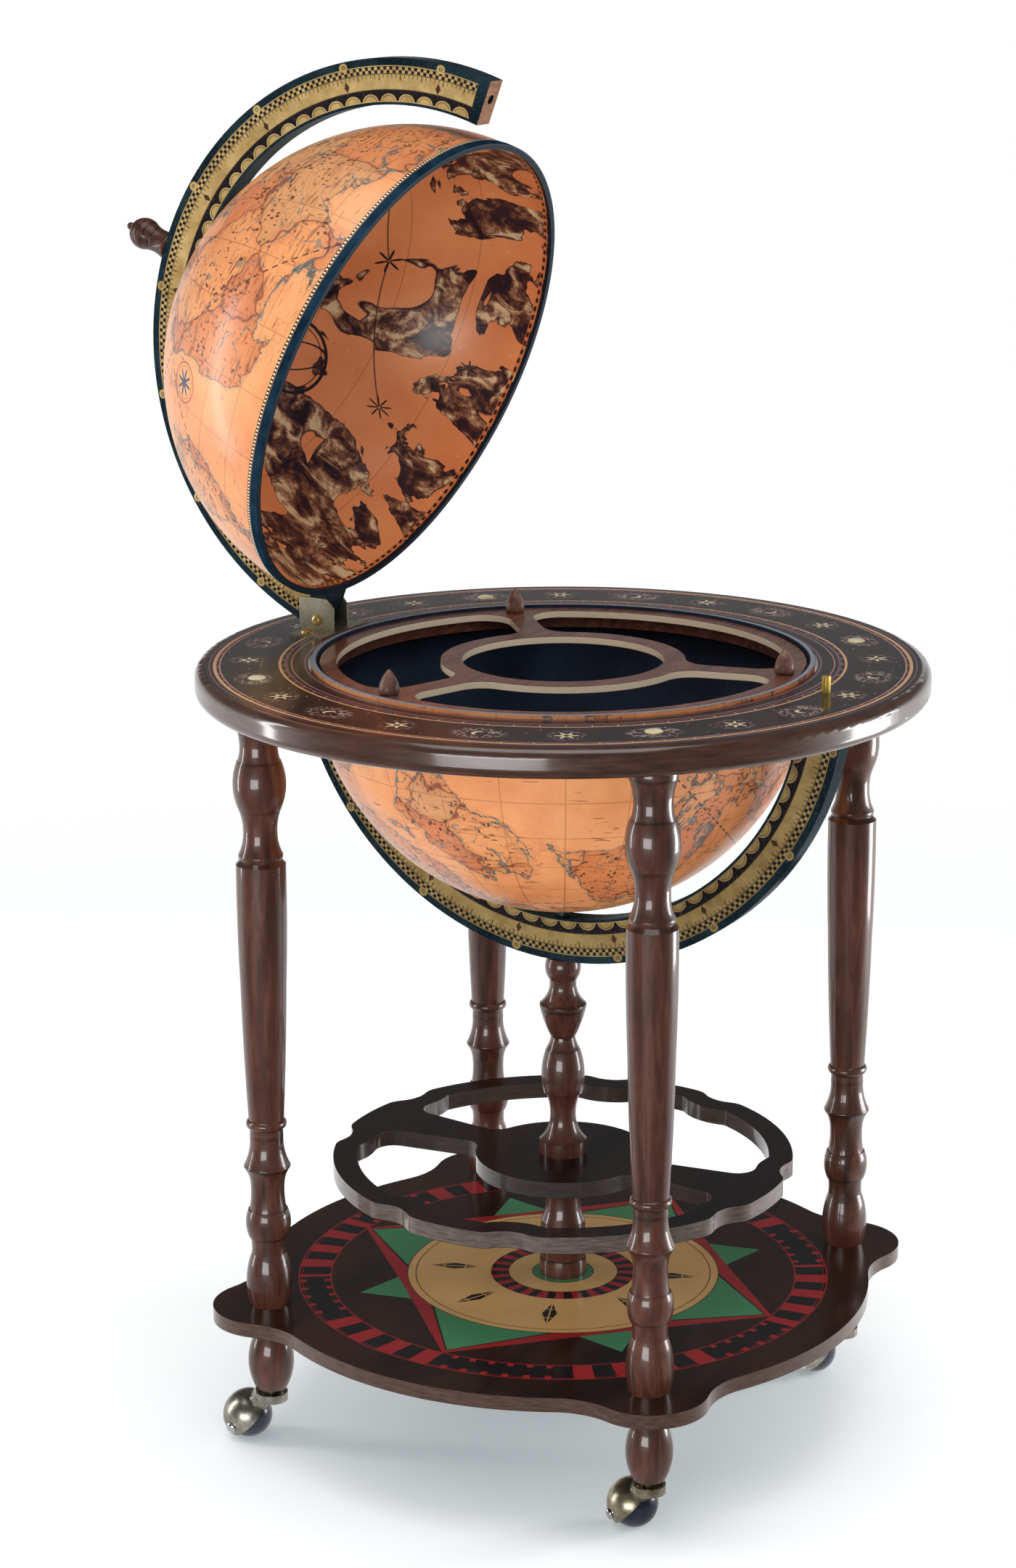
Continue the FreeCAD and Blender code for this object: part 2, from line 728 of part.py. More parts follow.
def turned(label, prefix, through="", bottom=None, top=None):
    """A turned piece: its outline revolved, with a bore right through or blind bores.

    bottom is the radius and the depth of a bore from below, and top is the radius of a bore from
    above and the level where it ends.
    """
    lengths = PROFILES[prefix][1]
    outline = [(prefix + "_start", "", "")]
    for length in lengths:
        name = prefix + "_" + length["name"]
        outline[-1] = outline[-1][:2] + (name + "_swell" if length.get("swell") else "",)
        outline.append((name + "_radius", length["level"], ""))
    crown = lengths[-1]["level"]
    if through:
        before = [(through, "", "")]
        after = [(through, crown, "")]
    else:
        before = [(bottom[0], bottom[1], ""), (bottom[0], "", "")] if bottom else []
        after = [(top[0], crown, ""), (top[0], top[1], "")] if top else []
        after.append(("", top[1] if top else crown, ""))
        before.insert(0, ("", bottom[1] if bottom else "", ""))
    body = doc.addObject("PartDesign::Body", label)
    sketch = draw_outline(new_sketch(body, label + "_outline", "XZ_Plane"), before + outline + after)
    revolution = feature(body, "Revolution", label + "_turning", sketch)
    revolution.ReferenceAxis = (sketch, ["V_Axis"])
    revolution.Angle = 360
    return body


def group(label, items):
    """Identical fasteners as one sub-part of separate solids."""
    return combine("Compound", label, items)


# Stand

def base_board():
    """A round board with four ears, the corners between them blended."""
    disc = solid("Cylinder", "board_disc", Radius="board_radius", Height="board_thick")
    ears = [solid("Cylinder", "board_ear_" + corner, corner + "_x", corner + "_y",
                  Radius="ear_radius", Height="board_thick") for corner in CORNERS]
    blank = combine("MultiFuse", "board_blank", [disc] + ears)
    blank.Refine = True
    doc.recompute()
    body = doc.addObject("PartDesign::Body", "base_board")
    body.BaseFeature = blank
    round_edges(body, "board_blends", "ear_blend",
                lambda edge: upright(edge) and near(from_axis(edge), number("board_radius")))
    spots = [(corner + "_x", corner + "_y", "stud_bore") for corner in CORNERS]
    drill(body, "board_holes", spots + [("", "", "rod_bore")], "board_thick", "board_thick")
    return place(body, z="board_bottom")


def table_ring():
    """The ring round the globe, with its crowned edge and the holes for all that it holds."""
    body = doc.addObject("PartDesign::Body", "table_ring")
    outline = draw_circles(new_sketch(body, "table_outline"),
                           [("", "", "table_radius"), ("", "", "table_opening")])
    pad(body, "table_blank", outline, "table_thick")
    round_edges(body, "table_edges", "table_edge_round",
                lambda edge: edge.Closed and near(from_axis(edge), 0)
                and near(edge.BoundBox.XMax, number("table_radius")) and edge.BoundBox.ZLength < 1)
    corners = [(corner + "_x", corner + "_y") for corner in CORNERS]
    drill(body, "table_screw_holes", [spot + ("leg_screw_bore",) for spot in corners],
          "table_thick", "table_thick")
    drill(body, "table_counterbores", [spot + ("counterbore_radius",) for spot in corners],
          "table_thick", "counterbore_depth")
    drill(body, "table_dowel_holes", [("lower_arc_middle", "", "dowel_hole"),
                                      ("dowel_back", "", "dowel_hole")],
          "0", "dowel_table_depth", upward=True)
    drill(body, "table_plate_screw_holes",
          [("plate_screw_x", side, "plate_screw_hole")
           for side in ("plate_screw_half_spread", "plate_screw_back")],
          "table_thick", "plate_screw_hole_depth")
    drill(body, "table_stem_hole", [("catch_reach", "", "stem_hole")],
          "table_thick", "stem_hole_depth")
    return place(body, z="table_bottom")


def bottle_shelf():
    """A round shelf with notches, two large openings, and spokes that flare to the band."""
    disc = solid("Cylinder", "shelf_disc", Radius="shelf_radius", Height="shelf_thick")
    notches = []
    bumps = []
    for quarter in range(4):
        for side in (-1, 1):
            name = "_%d%s" % (quarter, "a" if side < 0 else "b")
            direction = "%d + %d * notch_angle" % (90 * quarter, side)
            spot = ("notch_offset * cos(%s)" % direction, "notch_offset * sin(%s)" % direction)
            notches.append(solid("Cylinder", "shelf_notch" + name, *spot,
                                 Radius="notch_radius", Height="shelf_thick"))
            bumps.append(solid("Cylinder", "shelf_bump" + name, *spot,
                               Radius="bump_radius", Height="shelf_thick"))
    spokes = []
    for angle in ("0", "180"):
        sketch = doc.addObject("Sketcher::SketchObject", "shelf_spoke_outline_" + angle)
        draw_outline(sketch, [("spoke_root_reach", "spoke_root_back", ""),
                              ("shelf_inner", "spoke_end_back", ""),
                              ("shelf_inner", "spoke_end_half", ""),
                              ("spoke_root_reach", "spoke_root_half", "")])
        spoke = doc.addObject("Part::Extrusion", "shelf_spoke_" + angle)
        spoke.Base = sketch
        spoke.DirMode = "Normal"
        spoke.Solid = True
        bind(spoke, "LengthFwd", "shelf_thick")
        spokes.append(place(spoke, angle=angle))
    opening = solid("Cylinder", "shelf_opening", Radius="shelf_inner", Height="shelf_thick")
    hub = solid("Cylinder", "shelf_hub", Radius="hub_radius", Height="shelf_thick")
    openings = cut("shelf_openings", opening, [hub] + spokes + bumps)
    blank = cut("shelf_blank", disc, notches + [openings])
    blank.Refine = True
    doc.recompute()
    body = doc.addObject("PartDesign::Body", "bottle_shelf")
    body.BaseFeature = blank
    inner = number("shelf_inner")

    def beside_spoke(edge):
        return abs(edge.CenterOfMass.y) < number("spoke_end_half") + 1

    round_edges(body, "shelf_notch_blends", "notch_blend",
                lambda edge: upright(edge) and near(from_axis(edge), number("shelf_radius")))
    round_edges(body, "shelf_bump_blends", "bump_blend",
                lambda edge: upright(edge) and near(from_axis(edge), inner)
                and not beside_spoke(edge))
    round_edges(body, "shelf_spoke_blends", "spoke_blend",
                lambda edge: upright(edge) and beside_spoke(edge)
                and number("hub_radius") - 1 < from_axis(edge) < inner + 1)
    drill(body, "shelf_rod_hole", [("", "", "rod_bore")], "shelf_thick", "shelf_thick")
    return place(body, z="shelf_bottom")


def leg(corner):
    body = turned("leg_" + corner, "leg", bottom=("stud_bore", "stud_leg_bore_depth"),
                  top=("leg_screw_bore", "leg_top_bore_level"))
    return place(body, corner + "_x", corner + "_y", "board_top")


def foot(corner):
    body = turned("foot_" + corner, "foot", bottom=("socket_hole", "socket_hole_depth"),
                  top=("stud_bore", "foot_top_bore_level"))
    return place(body, corner + "_x", corner + "_y", "foot_bottom")


def leg_studs():
    return group("leg_studs", [
        solid("Cylinder", "stud_" + corner, corner + "_x", corner + "_y",
              "board_bottom - stud_in_foot", Radius="stud_radius", Height="stud_length")
        for corner in CORNERS])


def headed_screw(name, x, y, seat, length, radius, head_radius, head_height):
    """An upright screw: its shank down from the seat, its flat head above."""
    shank = solid("Cylinder", name + "_shank", x, y, "%s - %s" % (seat, length),
                  Radius=radius, Height=length)
    head = solid("Cylinder", name + "_head", x, y, seat, Radius=head_radius, Height=head_height)
    return combine("MultiFuse", name, [shank, head])


def leg_screws():
    return group("leg_screws", [
        headed_screw("leg_screw_" + corner, corner + "_x", corner + "_y", "screw_seat",
                     "leg_screw_length", "leg_screw_radius", "leg_screw_head_radius",
                     "leg_screw_head_height") for corner in CORNERS])


def cover_cap(corner):
    """A round cap with a crowned top and a plug in the counterbore."""
    x, y = corner + "_x", corner + "_y"
    plug = solid("Cylinder", "cap_plug_" + corner, x, y, "table_top - cap_plug_length",
                 Radius="cap_plug_radius", Height="cap_plug_length + cap_edge")
    edge = solid("Cylinder", "cap_edge_" + corner, x, y, "table_top",
                 Radius="cap_radius", Height="cap_edge")
    crown = solid("Cone", "cap_crown_" + corner, x, y, "table_top + cap_edge",
                  Radius1="cap_radius", Radius2="cap_crown_radius", Height="cap_crown")
    return combine("MultiFuse", "cap_" + corner, [plug, edge, crown])


def column_lower():
    return place(turned("column_lower", "low_column", through="rod_bore"), z="board_top")


def column_upper():
    return place(turned("column_upper", "high_column", through="rod_bore"), z="shelf_top")


def tie_rod():
    return solid("Cylinder", "tie_rod", z="rod_bottom", Radius="rod_radius",
                 Height="arc_seat + rod_in_arc - rod_bottom")


def rod_washer():
    disc = solid("Cylinder", "rod_washer_disc", z="board_bottom - rod_washer_thick",
                 Radius="rod_washer_radius", Height="rod_washer_thick")
    hole = solid("Cylinder", "rod_washer_hole", z="board_bottom - rod_washer_thick",
                 Radius="rod_bore", Height="rod_washer_thick")
    return cut("tie_rod_washer", disc, [hole])


def rod_nut():
    level = "board_bottom - rod_washer_thick - rod_nut_height"
    block = solid("Prism", "rod_nut_block", z=level, Circumradius="rod_nut_radius",
                  Height="rod_nut_height")
    hole = solid("Cylinder", "rod_nut_hole", z=level, Radius="rod_hole", Height="rod_nut_height")
    return cut("tie_rod_nut", block, [hole])


def across(name, x, z, radius, length):
    """A round bar or bore along Y, centred on the plane of the arcs."""
    return solid("Cylinder", name, x, "(%s) / 2" % length, z, "1; 0; 0", "90",
                 Radius=radius, Height=length)


def block(name, low_x, high_x, low_z, high_z, width):
    """A box centred on the plane of the arcs."""
    return solid("Box", name, low_x, "-(%s) / 2" % width, low_z, Length="%s - (%s)" % (high_x, low_x),
                 Width=width, Height="%s - (%s)" % (high_z, low_z))


# The screws that hold the bowl in its arc: straight down, and to both sides below the table.
BOWL_SCREWS = (("pole", "180"), ("hinge", "-bowl_side_tilt"), ("catch", "bowl_side_tilt"))


def bowl_rod(name, tilt, start, end, radius):
    """A rod along a radius of the bowl, whose centre lies below the arc's."""
    return radial_rod(name, "bowl_centre", tilt, start, end, radius)


def arc_face(tilt):
    """How far the inside of the lower arc lies from the bowl's centre along a radius."""
    return ("bowl_drop * cos(%s) + sqrt(lower_arc_inner ^ 2 - (bowl_drop * sin(%s)) ^ 2)"
            % (tilt, tilt))


def lower_arc():
    """The half ring that carries the bowl: flat where it stands and where it meets the table."""
    outer = across("lower_arc_outer", "0", "globe_plane", "lower_arc_radius", "arc_thick")
    inner = across("lower_arc_inner_bore", "0", "globe_plane", "lower_arc_inner", "arc_cut_wide")
    ring = cut("lower_arc_ring", outer, [inner])
    kept = block("lower_arc_kept", "-lower_arc_radius", "lower_arc_radius", "arc_seat",
                 "table_bottom", "arc_cut_wide")
    half = combine("MultiCommon", "lower_arc_half", [ring, kept])
    rod = solid("Cylinder", "lower_arc_rod_hole", z="arc_seat", Radius="rod_hole",
                Height="rod_in_arc + hole_slack")
    dowels = [solid("Cylinder", "lower_arc_dowel_hole_" + side, sign + "lower_arc_middle", "0",
                    "table_bottom - dowel_in_arc - hole_slack", Radius="dowel_hole",
                    Height="dowel_in_arc + hole_slack")
              for side, sign in (("hinge", "-"), ("catch", ""))]
    screws = [bowl_rod("lower_arc_screw_hole_" + side, tilt, "bowl_radius",
                       arc_face(tilt) + " + globe_screw_in_arc + hole_slack",
                       "globe_screw_hole") for side, tilt in BOWL_SCREWS]
    return cut("lower_arc", half, [rod] + dowels + screws)


def arc_dowels():
    return group("arc_dowels", [
        solid("Cylinder", "dowel_" + side, sign + "lower_arc_middle", "0",
              "table_bottom - dowel_in_arc", Radius="dowel_radius",
              Height="dowel_in_arc + dowel_in_table")
        for side, sign in (("hinge", "-"), ("catch", ""))])


# Bowl and tray

def dome(name, centre_z, outer, inner, low, high):
    """A shell between two spheres, between two latitudes."""
    ball = solid("Sphere", name + "_ball", z=centre_z, Radius=outer, Angle1=low, Angle2=high)
    hollow = solid("Sphere", name + "_hollow", z=centre_z, Radius=inner)
    return cut(name + "_dome", ball, [hollow])


def bowl_piece(label, outer, inner, rim_angle):
    shell = dome(label, "bowl_centre", outer, inner, "-90", rim_angle)
    holes = [bowl_rod(label + "_hole_" + side, tilt, inner + " - overrun", outer + " + overrun",
                      "globe_screw_hole") for side, tilt in BOWL_SCREWS]
    return cut(label, shell, holes)


def bowl_spacer(label, side, tilt):
    """A round block between bowl and arc, with the hole for its screw."""
    rod = bowl_rod(label + "_rod", tilt, "bowl_radius", arc_face(tilt) + " - slanted_seat_gap",
                   "bowl_spacer_radius")
    hole = bowl_rod(label + "_hole", tilt, "bowl_radius - overrun", arc_face(tilt) + " + overrun",
                    "globe_screw_hole")
    return cut(label, rod, [hole])


def bowl_screw(side, tilt):
    head = bowl_rod("bowl_screw_head_" + side, tilt,
                    "bowl_lining_inner - seat_gap - bowl_screw_head_height",
                    "bowl_lining_inner - seat_gap", "bowl_screw_head_radius")
    shank = bowl_rod("bowl_screw_shank_" + side, tilt, "bowl_lining_inner - seat_gap",
                     arc_face(tilt) + " + globe_screw_in_arc", "globe_screw_radius")
    return combine("MultiFuse", "bowl_screw_" + side, [head, shank])


def tray_ledge():
    """A ring glued round the inside of the bowl, flat on top for the tray."""
    ring = solid("Sphere", "ledge_ring", z="bowl_centre", Radius="ledge_outer",
                 Angle1="ledge_low_angle", Angle2="ledge_top_angle")
    opening = solid("Cylinder", "ledge_opening_bore", z="tray_bottom - ledge_height - overrun",
                    Radius="ledge_opening", Height="ledge_height + 2 * overrun")
    return cut("tray_ledge", ring, [opening])


def serving_tray():
    """A disc with a round hole and three kidney openings, drawn with a spoke on each side of +X."""
    body = doc.addObject("PartDesign::Body", "serving_tray")
    outline = draw_circles(new_sketch(body, "tray_outline"),
                           [("", "", "tray_radius"), ("", "", "tray_hole_radius")])
    pad(body, "tray_blank", outline, "tray_thick")
    kidney = draw_outline(new_sketch(body, "kidney_outline", level="tray_thick"), [
        ("kidney_inner_x", "kidney_inner_back", ""),
        ("kidney_outer_x", "kidney_outer_back", "kidney_outer_swell"),
        ("kidney_outer_x", "kidney_outer_y", ""),
        ("kidney_inner_x", "kidney_inner_y", "kidney_inner_swell"),
    ])
    repeat(body, pocket(body, "kidney", kidney, "tray_thick"), TRAY_SPOKES)
    round_edges(body, "kidney_corners", "kidney_blend",
                lambda edge: upright(edge) and (near(from_axis(edge), number("kidney_inner"))
                                                or near(from_axis(edge), number("kidney_outer"))))
    knob_hole = drill(body, "knob_hole", [("knob_x", "knob_y", "knob_hole")],
                      "tray_thick", "knob_hole_depth")
    repeat(body, knob_hole, TRAY_SPOKES)
    return place(body, z="tray_bottom", angle="tray_angle")


def tray_knobs():
    knobs = []
    for index in range(TRAY_SPOKES):
        angle = "tray_turn + %d * 2 * tray_half_share" % index
        knob = turned("knob_%d" % (index + 1), "knob")
        knobs.append(place(knob, "knob_offset * cos(%s)" % angle, "knob_offset * sin(%s)" % angle,
                           "tray_top - knob_spigot_height"))
    return group("tray_knobs", knobs)


# Lid

def lid_piece(label, outer, inner):
    shell = dome(label, "lid_plane", outer, inner, "0", "90")
    pole = radial_rod(label + "_pole_hole", "lid_plane", "0", inner + " - overrun",
                      outer + " + overrun", "pole_bolt_hole")
    side = radial_rod(label + "_side_hole", "lid_plane", "-lid_side_tilt", inner + " - overrun",
                      outer + " + overrun", "globe_screw_hole")
    return open_with_lid(cut(label, shell, [pole, side]))


def lid_rim_band():
    band = dome("lid_rim_band", "lid_plane", "band_outer", "band_inner", "0", "band_angle")
    band.Label = "lid_rim_band"
    return open_with_lid(band)


def upper_arc():
    """The half ring that carries the lid: a round knuckle at the hinge, a hole for the catch."""
    outer = across("upper_arc_outer", "upper_arc_shift", "upper_arc_plane", "upper_arc_radius",
                   "arc_thick")
    inner = across("upper_arc_inner_bore", "upper_arc_shift", "upper_arc_plane", "upper_arc_inner",
                   "arc_cut_wide")
    ring = cut("upper_arc_ring", outer, [inner])
    below_hinge = block("upper_arc_below_hinge", "-upper_arc_radius - overrun", "upper_arc_shift",
                        "upper_arc_bottom", "hinge_end", "arc_cut_wide")
    below_catch = block("upper_arc_below_catch", "upper_arc_shift",
                        "upper_arc_shift + upper_arc_radius + overrun", "upper_arc_bottom",
                        "catch_end", "arc_cut_wide")
    corner = block("knuckle_corner", "hinge_x - knuckle_radius - overrun", "hinge_x",
                   "hinge_z - knuckle_radius - overrun", "hinge_z", "arc_cut_wide")
    round_end = across("knuckle_round", "hinge_x", "hinge_z", "knuckle_radius",
                       "arc_cut_wide + 2 * overrun")
    clipped = cut("knuckle_clipped", corner, [round_end])
    pin = across("upper_arc_pin_bore", "hinge_x", "hinge_z", "pin_radius + run_gap",
                 "arc_cut_wide")
    catch = solid("Cylinder", "upper_arc_catch_hole", "catch_reach", "0", "catch_end",
                  Radius="catch_hole_radius", Height="catch_hole_depth")
    bolt = radial_rod("upper_arc_bolt_hole", "lid_plane", "0", "lid_radius",
                      "upper_arc_top - lid_plane + overrun", "pole_bolt_hole")
    screw = radial_rod("upper_arc_screw_hole", "lid_plane", "-lid_side_tilt", "lid_radius",
                       "lid_side_arc_face + globe_screw_in_arc + hole_slack",
                       "globe_screw_hole")
    return open_with_lid(cut("upper_arc", ring, [below_hinge, below_catch, clipped, pin, catch,
                                                 bolt, screw]))


def lid_pole_spacer():
    rod = solid("Cylinder", "lid_pole_spacer_rod", z="lid_plane + lid_radius",
                Radius="lid_spacer_radius", Height="lid_pole_spacer_top - lid_plane - lid_radius")
    hole = solid("Cylinder", "lid_pole_spacer_hole", z="lid_plane + lid_radius",
                 Radius="pole_bolt_hole", Height="lid_pole_spacer_top - lid_plane - lid_radius")
    return open_with_lid(cut("lid_pole_spacer", rod, [hole]))


def lid_side_spacer():
    rod = radial_rod("lid_side_spacer_rod", "lid_plane", "-lid_side_tilt", "lid_radius",
                     "lid_side_arc_face - slanted_seat_gap", "lid_side_spacer_radius")
    hole = radial_rod("lid_side_spacer_hole", "lid_plane", "-lid_side_tilt",
                      "lid_radius - overrun", "lid_side_arc_face + overrun", "globe_screw_hole")
    return open_with_lid(cut("lid_side_spacer", rod, [hole]))


def lid_side_screw():
    head = radial_rod("lid_side_screw_head", "lid_plane", "-lid_side_tilt",
                      "lid_lining_inner - seat_gap - side_screw_head_height",
                      "lid_lining_inner - seat_gap", "side_screw_head_radius")
    shank = radial_rod("lid_side_screw_shank", "lid_plane", "-lid_side_tilt",
                       "lid_lining_inner - seat_gap", "lid_side_arc_face + globe_screw_in_arc",
                       "globe_screw_radius")
    return open_with_lid(combine("MultiFuse", "lid_side_screw", [head, shank]))


def pole_bolt():
    """The bolt from inside the lid through spacer and arc into the finial."""
    seat = "lid_lining_inner - 2 * seat_gap - pole_washer_thick"
    head = radial_rod("pole_bolt_head", "lid_plane", "0", seat + " - pole_bolt_head_height", seat,
                      "pole_bolt_head_radius")
    shank = radial_rod("pole_bolt_shank", "lid_plane", "0", seat,
                       "upper_arc_top - lid_plane + pole_bolt_in_finial", "pole_bolt_radius")
    return open_with_lid(combine("MultiFuse", "pole_bolt", [head, shank]))


def pole_washer():
    low = "lid_lining_inner - 2 * seat_gap - pole_washer_thick"
    high = "lid_lining_inner - 2 * seat_gap"
    disc = radial_rod("pole_washer_disc", "lid_plane", "0", low, high, "pole_washer_radius")
    hole = radial_rod("pole_washer_hole", "lid_plane", "0", low, high, "pole_bolt_hole")
    return open_with_lid(cut("pole_washer", disc, [hole]))


def finial():
    body = turned("finial", "finial", bottom=("pole_bolt_hole", "finial_bore_depth"))
    return open_with_lid(body, z="upper_arc_top")


# Hinge and catch

def hinge_bracket():
    """A plate on the table with two upright cheeks, drilled for the pin and the screws."""
    plate = solid("Box", "hinge_plate", "-plate_outer_reach", "-plate_half_width", "table_top",
                  Length="plate_outer_reach - plate_inner_reach", Width="2 * plate_half_width",
                  Height="plate_thick")
    cheeks = []
    for side, near_face in (("front", "-cheek_half_gap"), ("back", "cheek_outer_face")):
        sketch = doc.addObject("Sketcher::SketchObject", "cheek_outline_" + side)
        draw_outline(sketch, [("cheek_far_x", "plate_top", ""), ("cheek_near_x", "plate_top", ""),
                              ("cheek_near_x", "cheek_clip_z", ""),
                              ("cheek_clip_x", "cheek_top", ""), ("cheek_far_x", "cheek_top", "")])
        cheek = doc.addObject("Part::Extrusion", "cheek_" + side)
        cheek.Base = sketch
        cheek.DirMode = "Normal"
        cheek.Solid = True
        bind(cheek, "LengthFwd", "cheek_thick")
        cheeks.append(place(cheek, y=near_face, axis="1; 0; 0", angle="90"))
    bracket = combine("MultiFuse", "hinge_bracket_blank", [plate] + cheeks)
    pin = across("hinge_bracket_pin_bore", "hinge_x", "hinge_z", "pin_radius + fit_gap",
                 "2 * cheek_outer_face + 2 * overrun")
    holes = [solid("Cylinder", "hinge_plate_hole_" + side, "plate_screw_x",
                   sign + "plate_screw_half_spread", "table_top", Radius="plate_screw_hole",
                   Height="plate_thick") for side, sign in (("front", "-"), ("back", ""))]
    return cut("hinge_bracket", bracket, [pin] + holes)


def hinge_pin():
    """The pin lies along Y: its round head is at the front, its tail holds the nut."""
    pin = turned("hinge_pin", "hinge_pin")
    return place(pin, "hinge_x", "-cheek_outer_face - hinge_pin_dome_height", "hinge_z",
                 "1; 0; 0", "-90")


def hinge_nut():
    block_nut = solid("Prism", "hinge_nut_block", "hinge_x", "cheek_outer_face", "hinge_z",
                      "1; 0; 0", "-90", Circumradius="hinge_nut_radius", Height="hinge_nut_height")
    hole = solid("Cylinder", "hinge_nut_hole", "hinge_x", "cheek_outer_face", "hinge_z",
                 "1; 0; 0", "-90", Radius="pin_radius + fit_gap", Height="hinge_nut_height")
    return cut("hinge_nut", block_nut, [hole])


def bracket_screws():
    screws = []
    for side, sign in (("front", "-"), ("back", "")):
        screw = turned("plate_screw_" + side, "plate_screw")
        screws.append(place(screw, "plate_screw_x", sign + "plate_screw_half_spread",
                            "plate_top - plate_screw_shank_level"))
    return group("bracket_screws", screws)


def catch_tongue():
    """A slotted tongue that stands on the table and enters the arc's end as the lid closes."""
    tongue = solid("Box", "tongue_blade", "catch_reach - tongue_wide / 2", "-tongue_thick / 2",
                   "table_top", Length="tongue_wide", Width="tongue_thick", Height="tongue_height")
    slot = solid("Box", "tongue_slot", "catch_reach - tongue_slot_wide / 2",
                 "-tongue_thick / 2 - overrun", "table_top + tongue_slot_rise",
                 Length="tongue_slot_wide", Width="tongue_thick + 2 * overrun", Height="tongue_slot_height")
    stem = solid("Cylinder", "tongue_stem", "catch_reach", "0", "table_top - tongue_stem_length",
                 Radius="tongue_stem_radius", Height="tongue_stem_length")
    whole = combine("MultiFuse", "tongue_whole", [tongue, stem])
    return cut("catch_tongue", whole, [slot])


# Casters, each drawn with its swivel axis on Z and its ball trailing towards +X

def at_corner(item, corner):
    """Move an object of a caster under its leg and turn it to its trail."""
    return place(item, corner + "_x", corner + "_y", angle=corner + "_trail")


def caster_socket(corner):
    sleeve = solid("Cylinder", "socket_sleeve_" + corner, z="foot_bottom", Radius="socket_radius",
                   Height="socket_length")
    flange = solid("Cylinder", "socket_flange_" + corner, z="foot_bottom - socket_flange_thick",
                   Radius="socket_flange_radius", Height="socket_flange_thick")
    whole = combine("MultiFuse", "socket_whole_" + corner, [sleeve, flange])
    bore = solid("Cylinder", "socket_bore_" + corner, z="foot_bottom - socket_flange_thick",
                 Radius="socket_bore", Height="socket_length + socket_flange_thick + overrun")
    return at_corner(cut("socket_" + corner, whole, [bore]), corner)


def axle_line(name, start, end, radius):
    """A rod or bore along the tilted axle, which points to the capped side of the ball."""
    return solid("Cylinder", name, "caster_trail", "(%s) * cos(axle_tilt)" % start,
                 "wheel_radius - (%s) * sin(axle_tilt)" % start, "1; 0; 0", "-90 - axle_tilt",
                 Radius=radius, Height="(%s) - (%s)" % (end, start))


def caster_hood(corner):
    """Hood, arm, open cup, neck and stem in one casting."""
    centre = {"x": "caster_trail", "z": "wheel_radius"}
    ball = solid("Sphere", "hood_ball_" + corner, **centre, Radius="hood_outer")
    covered = solid("Cylinder", "hood_covered_" + corner, **centre,
                    axis="-sin(hood_turn); cos(hood_turn); 0", angle="90 - hood_lift",
                    Radius="hood_outer + overrun", Height="hood_outer + overrun")
    half = combine("MultiCommon", "hood_half_" + corner, [ball, covered])
    arm = solid("Cylinder", "hood_arm_" + corner, **centre, axis="0; -1; 0", angle="90 - arm_angle",
                Radius="arm_radius", Height="arm_length")
    cup = solid("Cylinder", "hood_cup_" + corner, z="cup_bottom", Radius="cup_radius",
                Height="cup_height")
    outside = combine("MultiFuse", "hood_outside_" + corner, [half, arm, cup])
    hollow = solid("Sphere", "hood_hollow_" + corner, **centre, Radius="hood_inner")
    well = solid("Cylinder", "hood_well_" + corner, z="cup_bottom + cup_floor",
                 Radius="cup_radius - cup_wall", Height="cup_height")
    shell = cut("hood_shell_" + corner, outside, [hollow, well])
    neck = solid("Cylinder", "hood_neck_" + corner, z="cup_bottom", Radius="neck_radius",
                 Height="neck_top - cup_bottom")
    stem = solid("Cylinder", "hood_stem_" + corner, z="cup_bottom", Radius="stem_radius",
                 Height="neck_top - cup_bottom + stem_length")
    whole = combine("MultiFuse", "hood_whole_" + corner, [shell, neck, stem])
    bore = axle_line("hood_axle_bore_" + corner, "0", "hood_outer + overrun",
                     "axle_radius + fit_gap")
    return at_corner(cut("caster_hood_" + corner, whole, [bore]), corner)


def caster_axle(corner):
    """The axle with its bright cap, from inside the ball out through the hood."""
    body = turned("caster_axle_" + corner, "axle")
    inner = "(-axle_reach)"
    local_y = inner + " * cos(axle_tilt)"
    trail = corner + "_trail"
    return place(body, "%s_x + caster_trail * cos(%s) - %s * sin(%s)" % (corner, trail, local_y, trail),
                 "%s_y + caster_trail * sin(%s) + %s * cos(%s)" % (corner, trail, local_y, trail),
                 "wheel_radius - " + inner + " * sin(axle_tilt)",
                 "cos(%s); sin(%s); 0" % (trail, trail), "-90 - axle_tilt")


def caster_wheel(corner):
    ball = solid("Sphere", "wheel_ball_" + corner, "caster_trail", "0", "wheel_radius",
                 Radius="wheel_radius")
    bore = axle_line("wheel_bore_" + corner, "-wheel_bore_reach",
                     "wheel_radius + overrun", "wheel_bore")
    return at_corner(cut("caster_wheel_" + corner, ball, [bore]), corner)


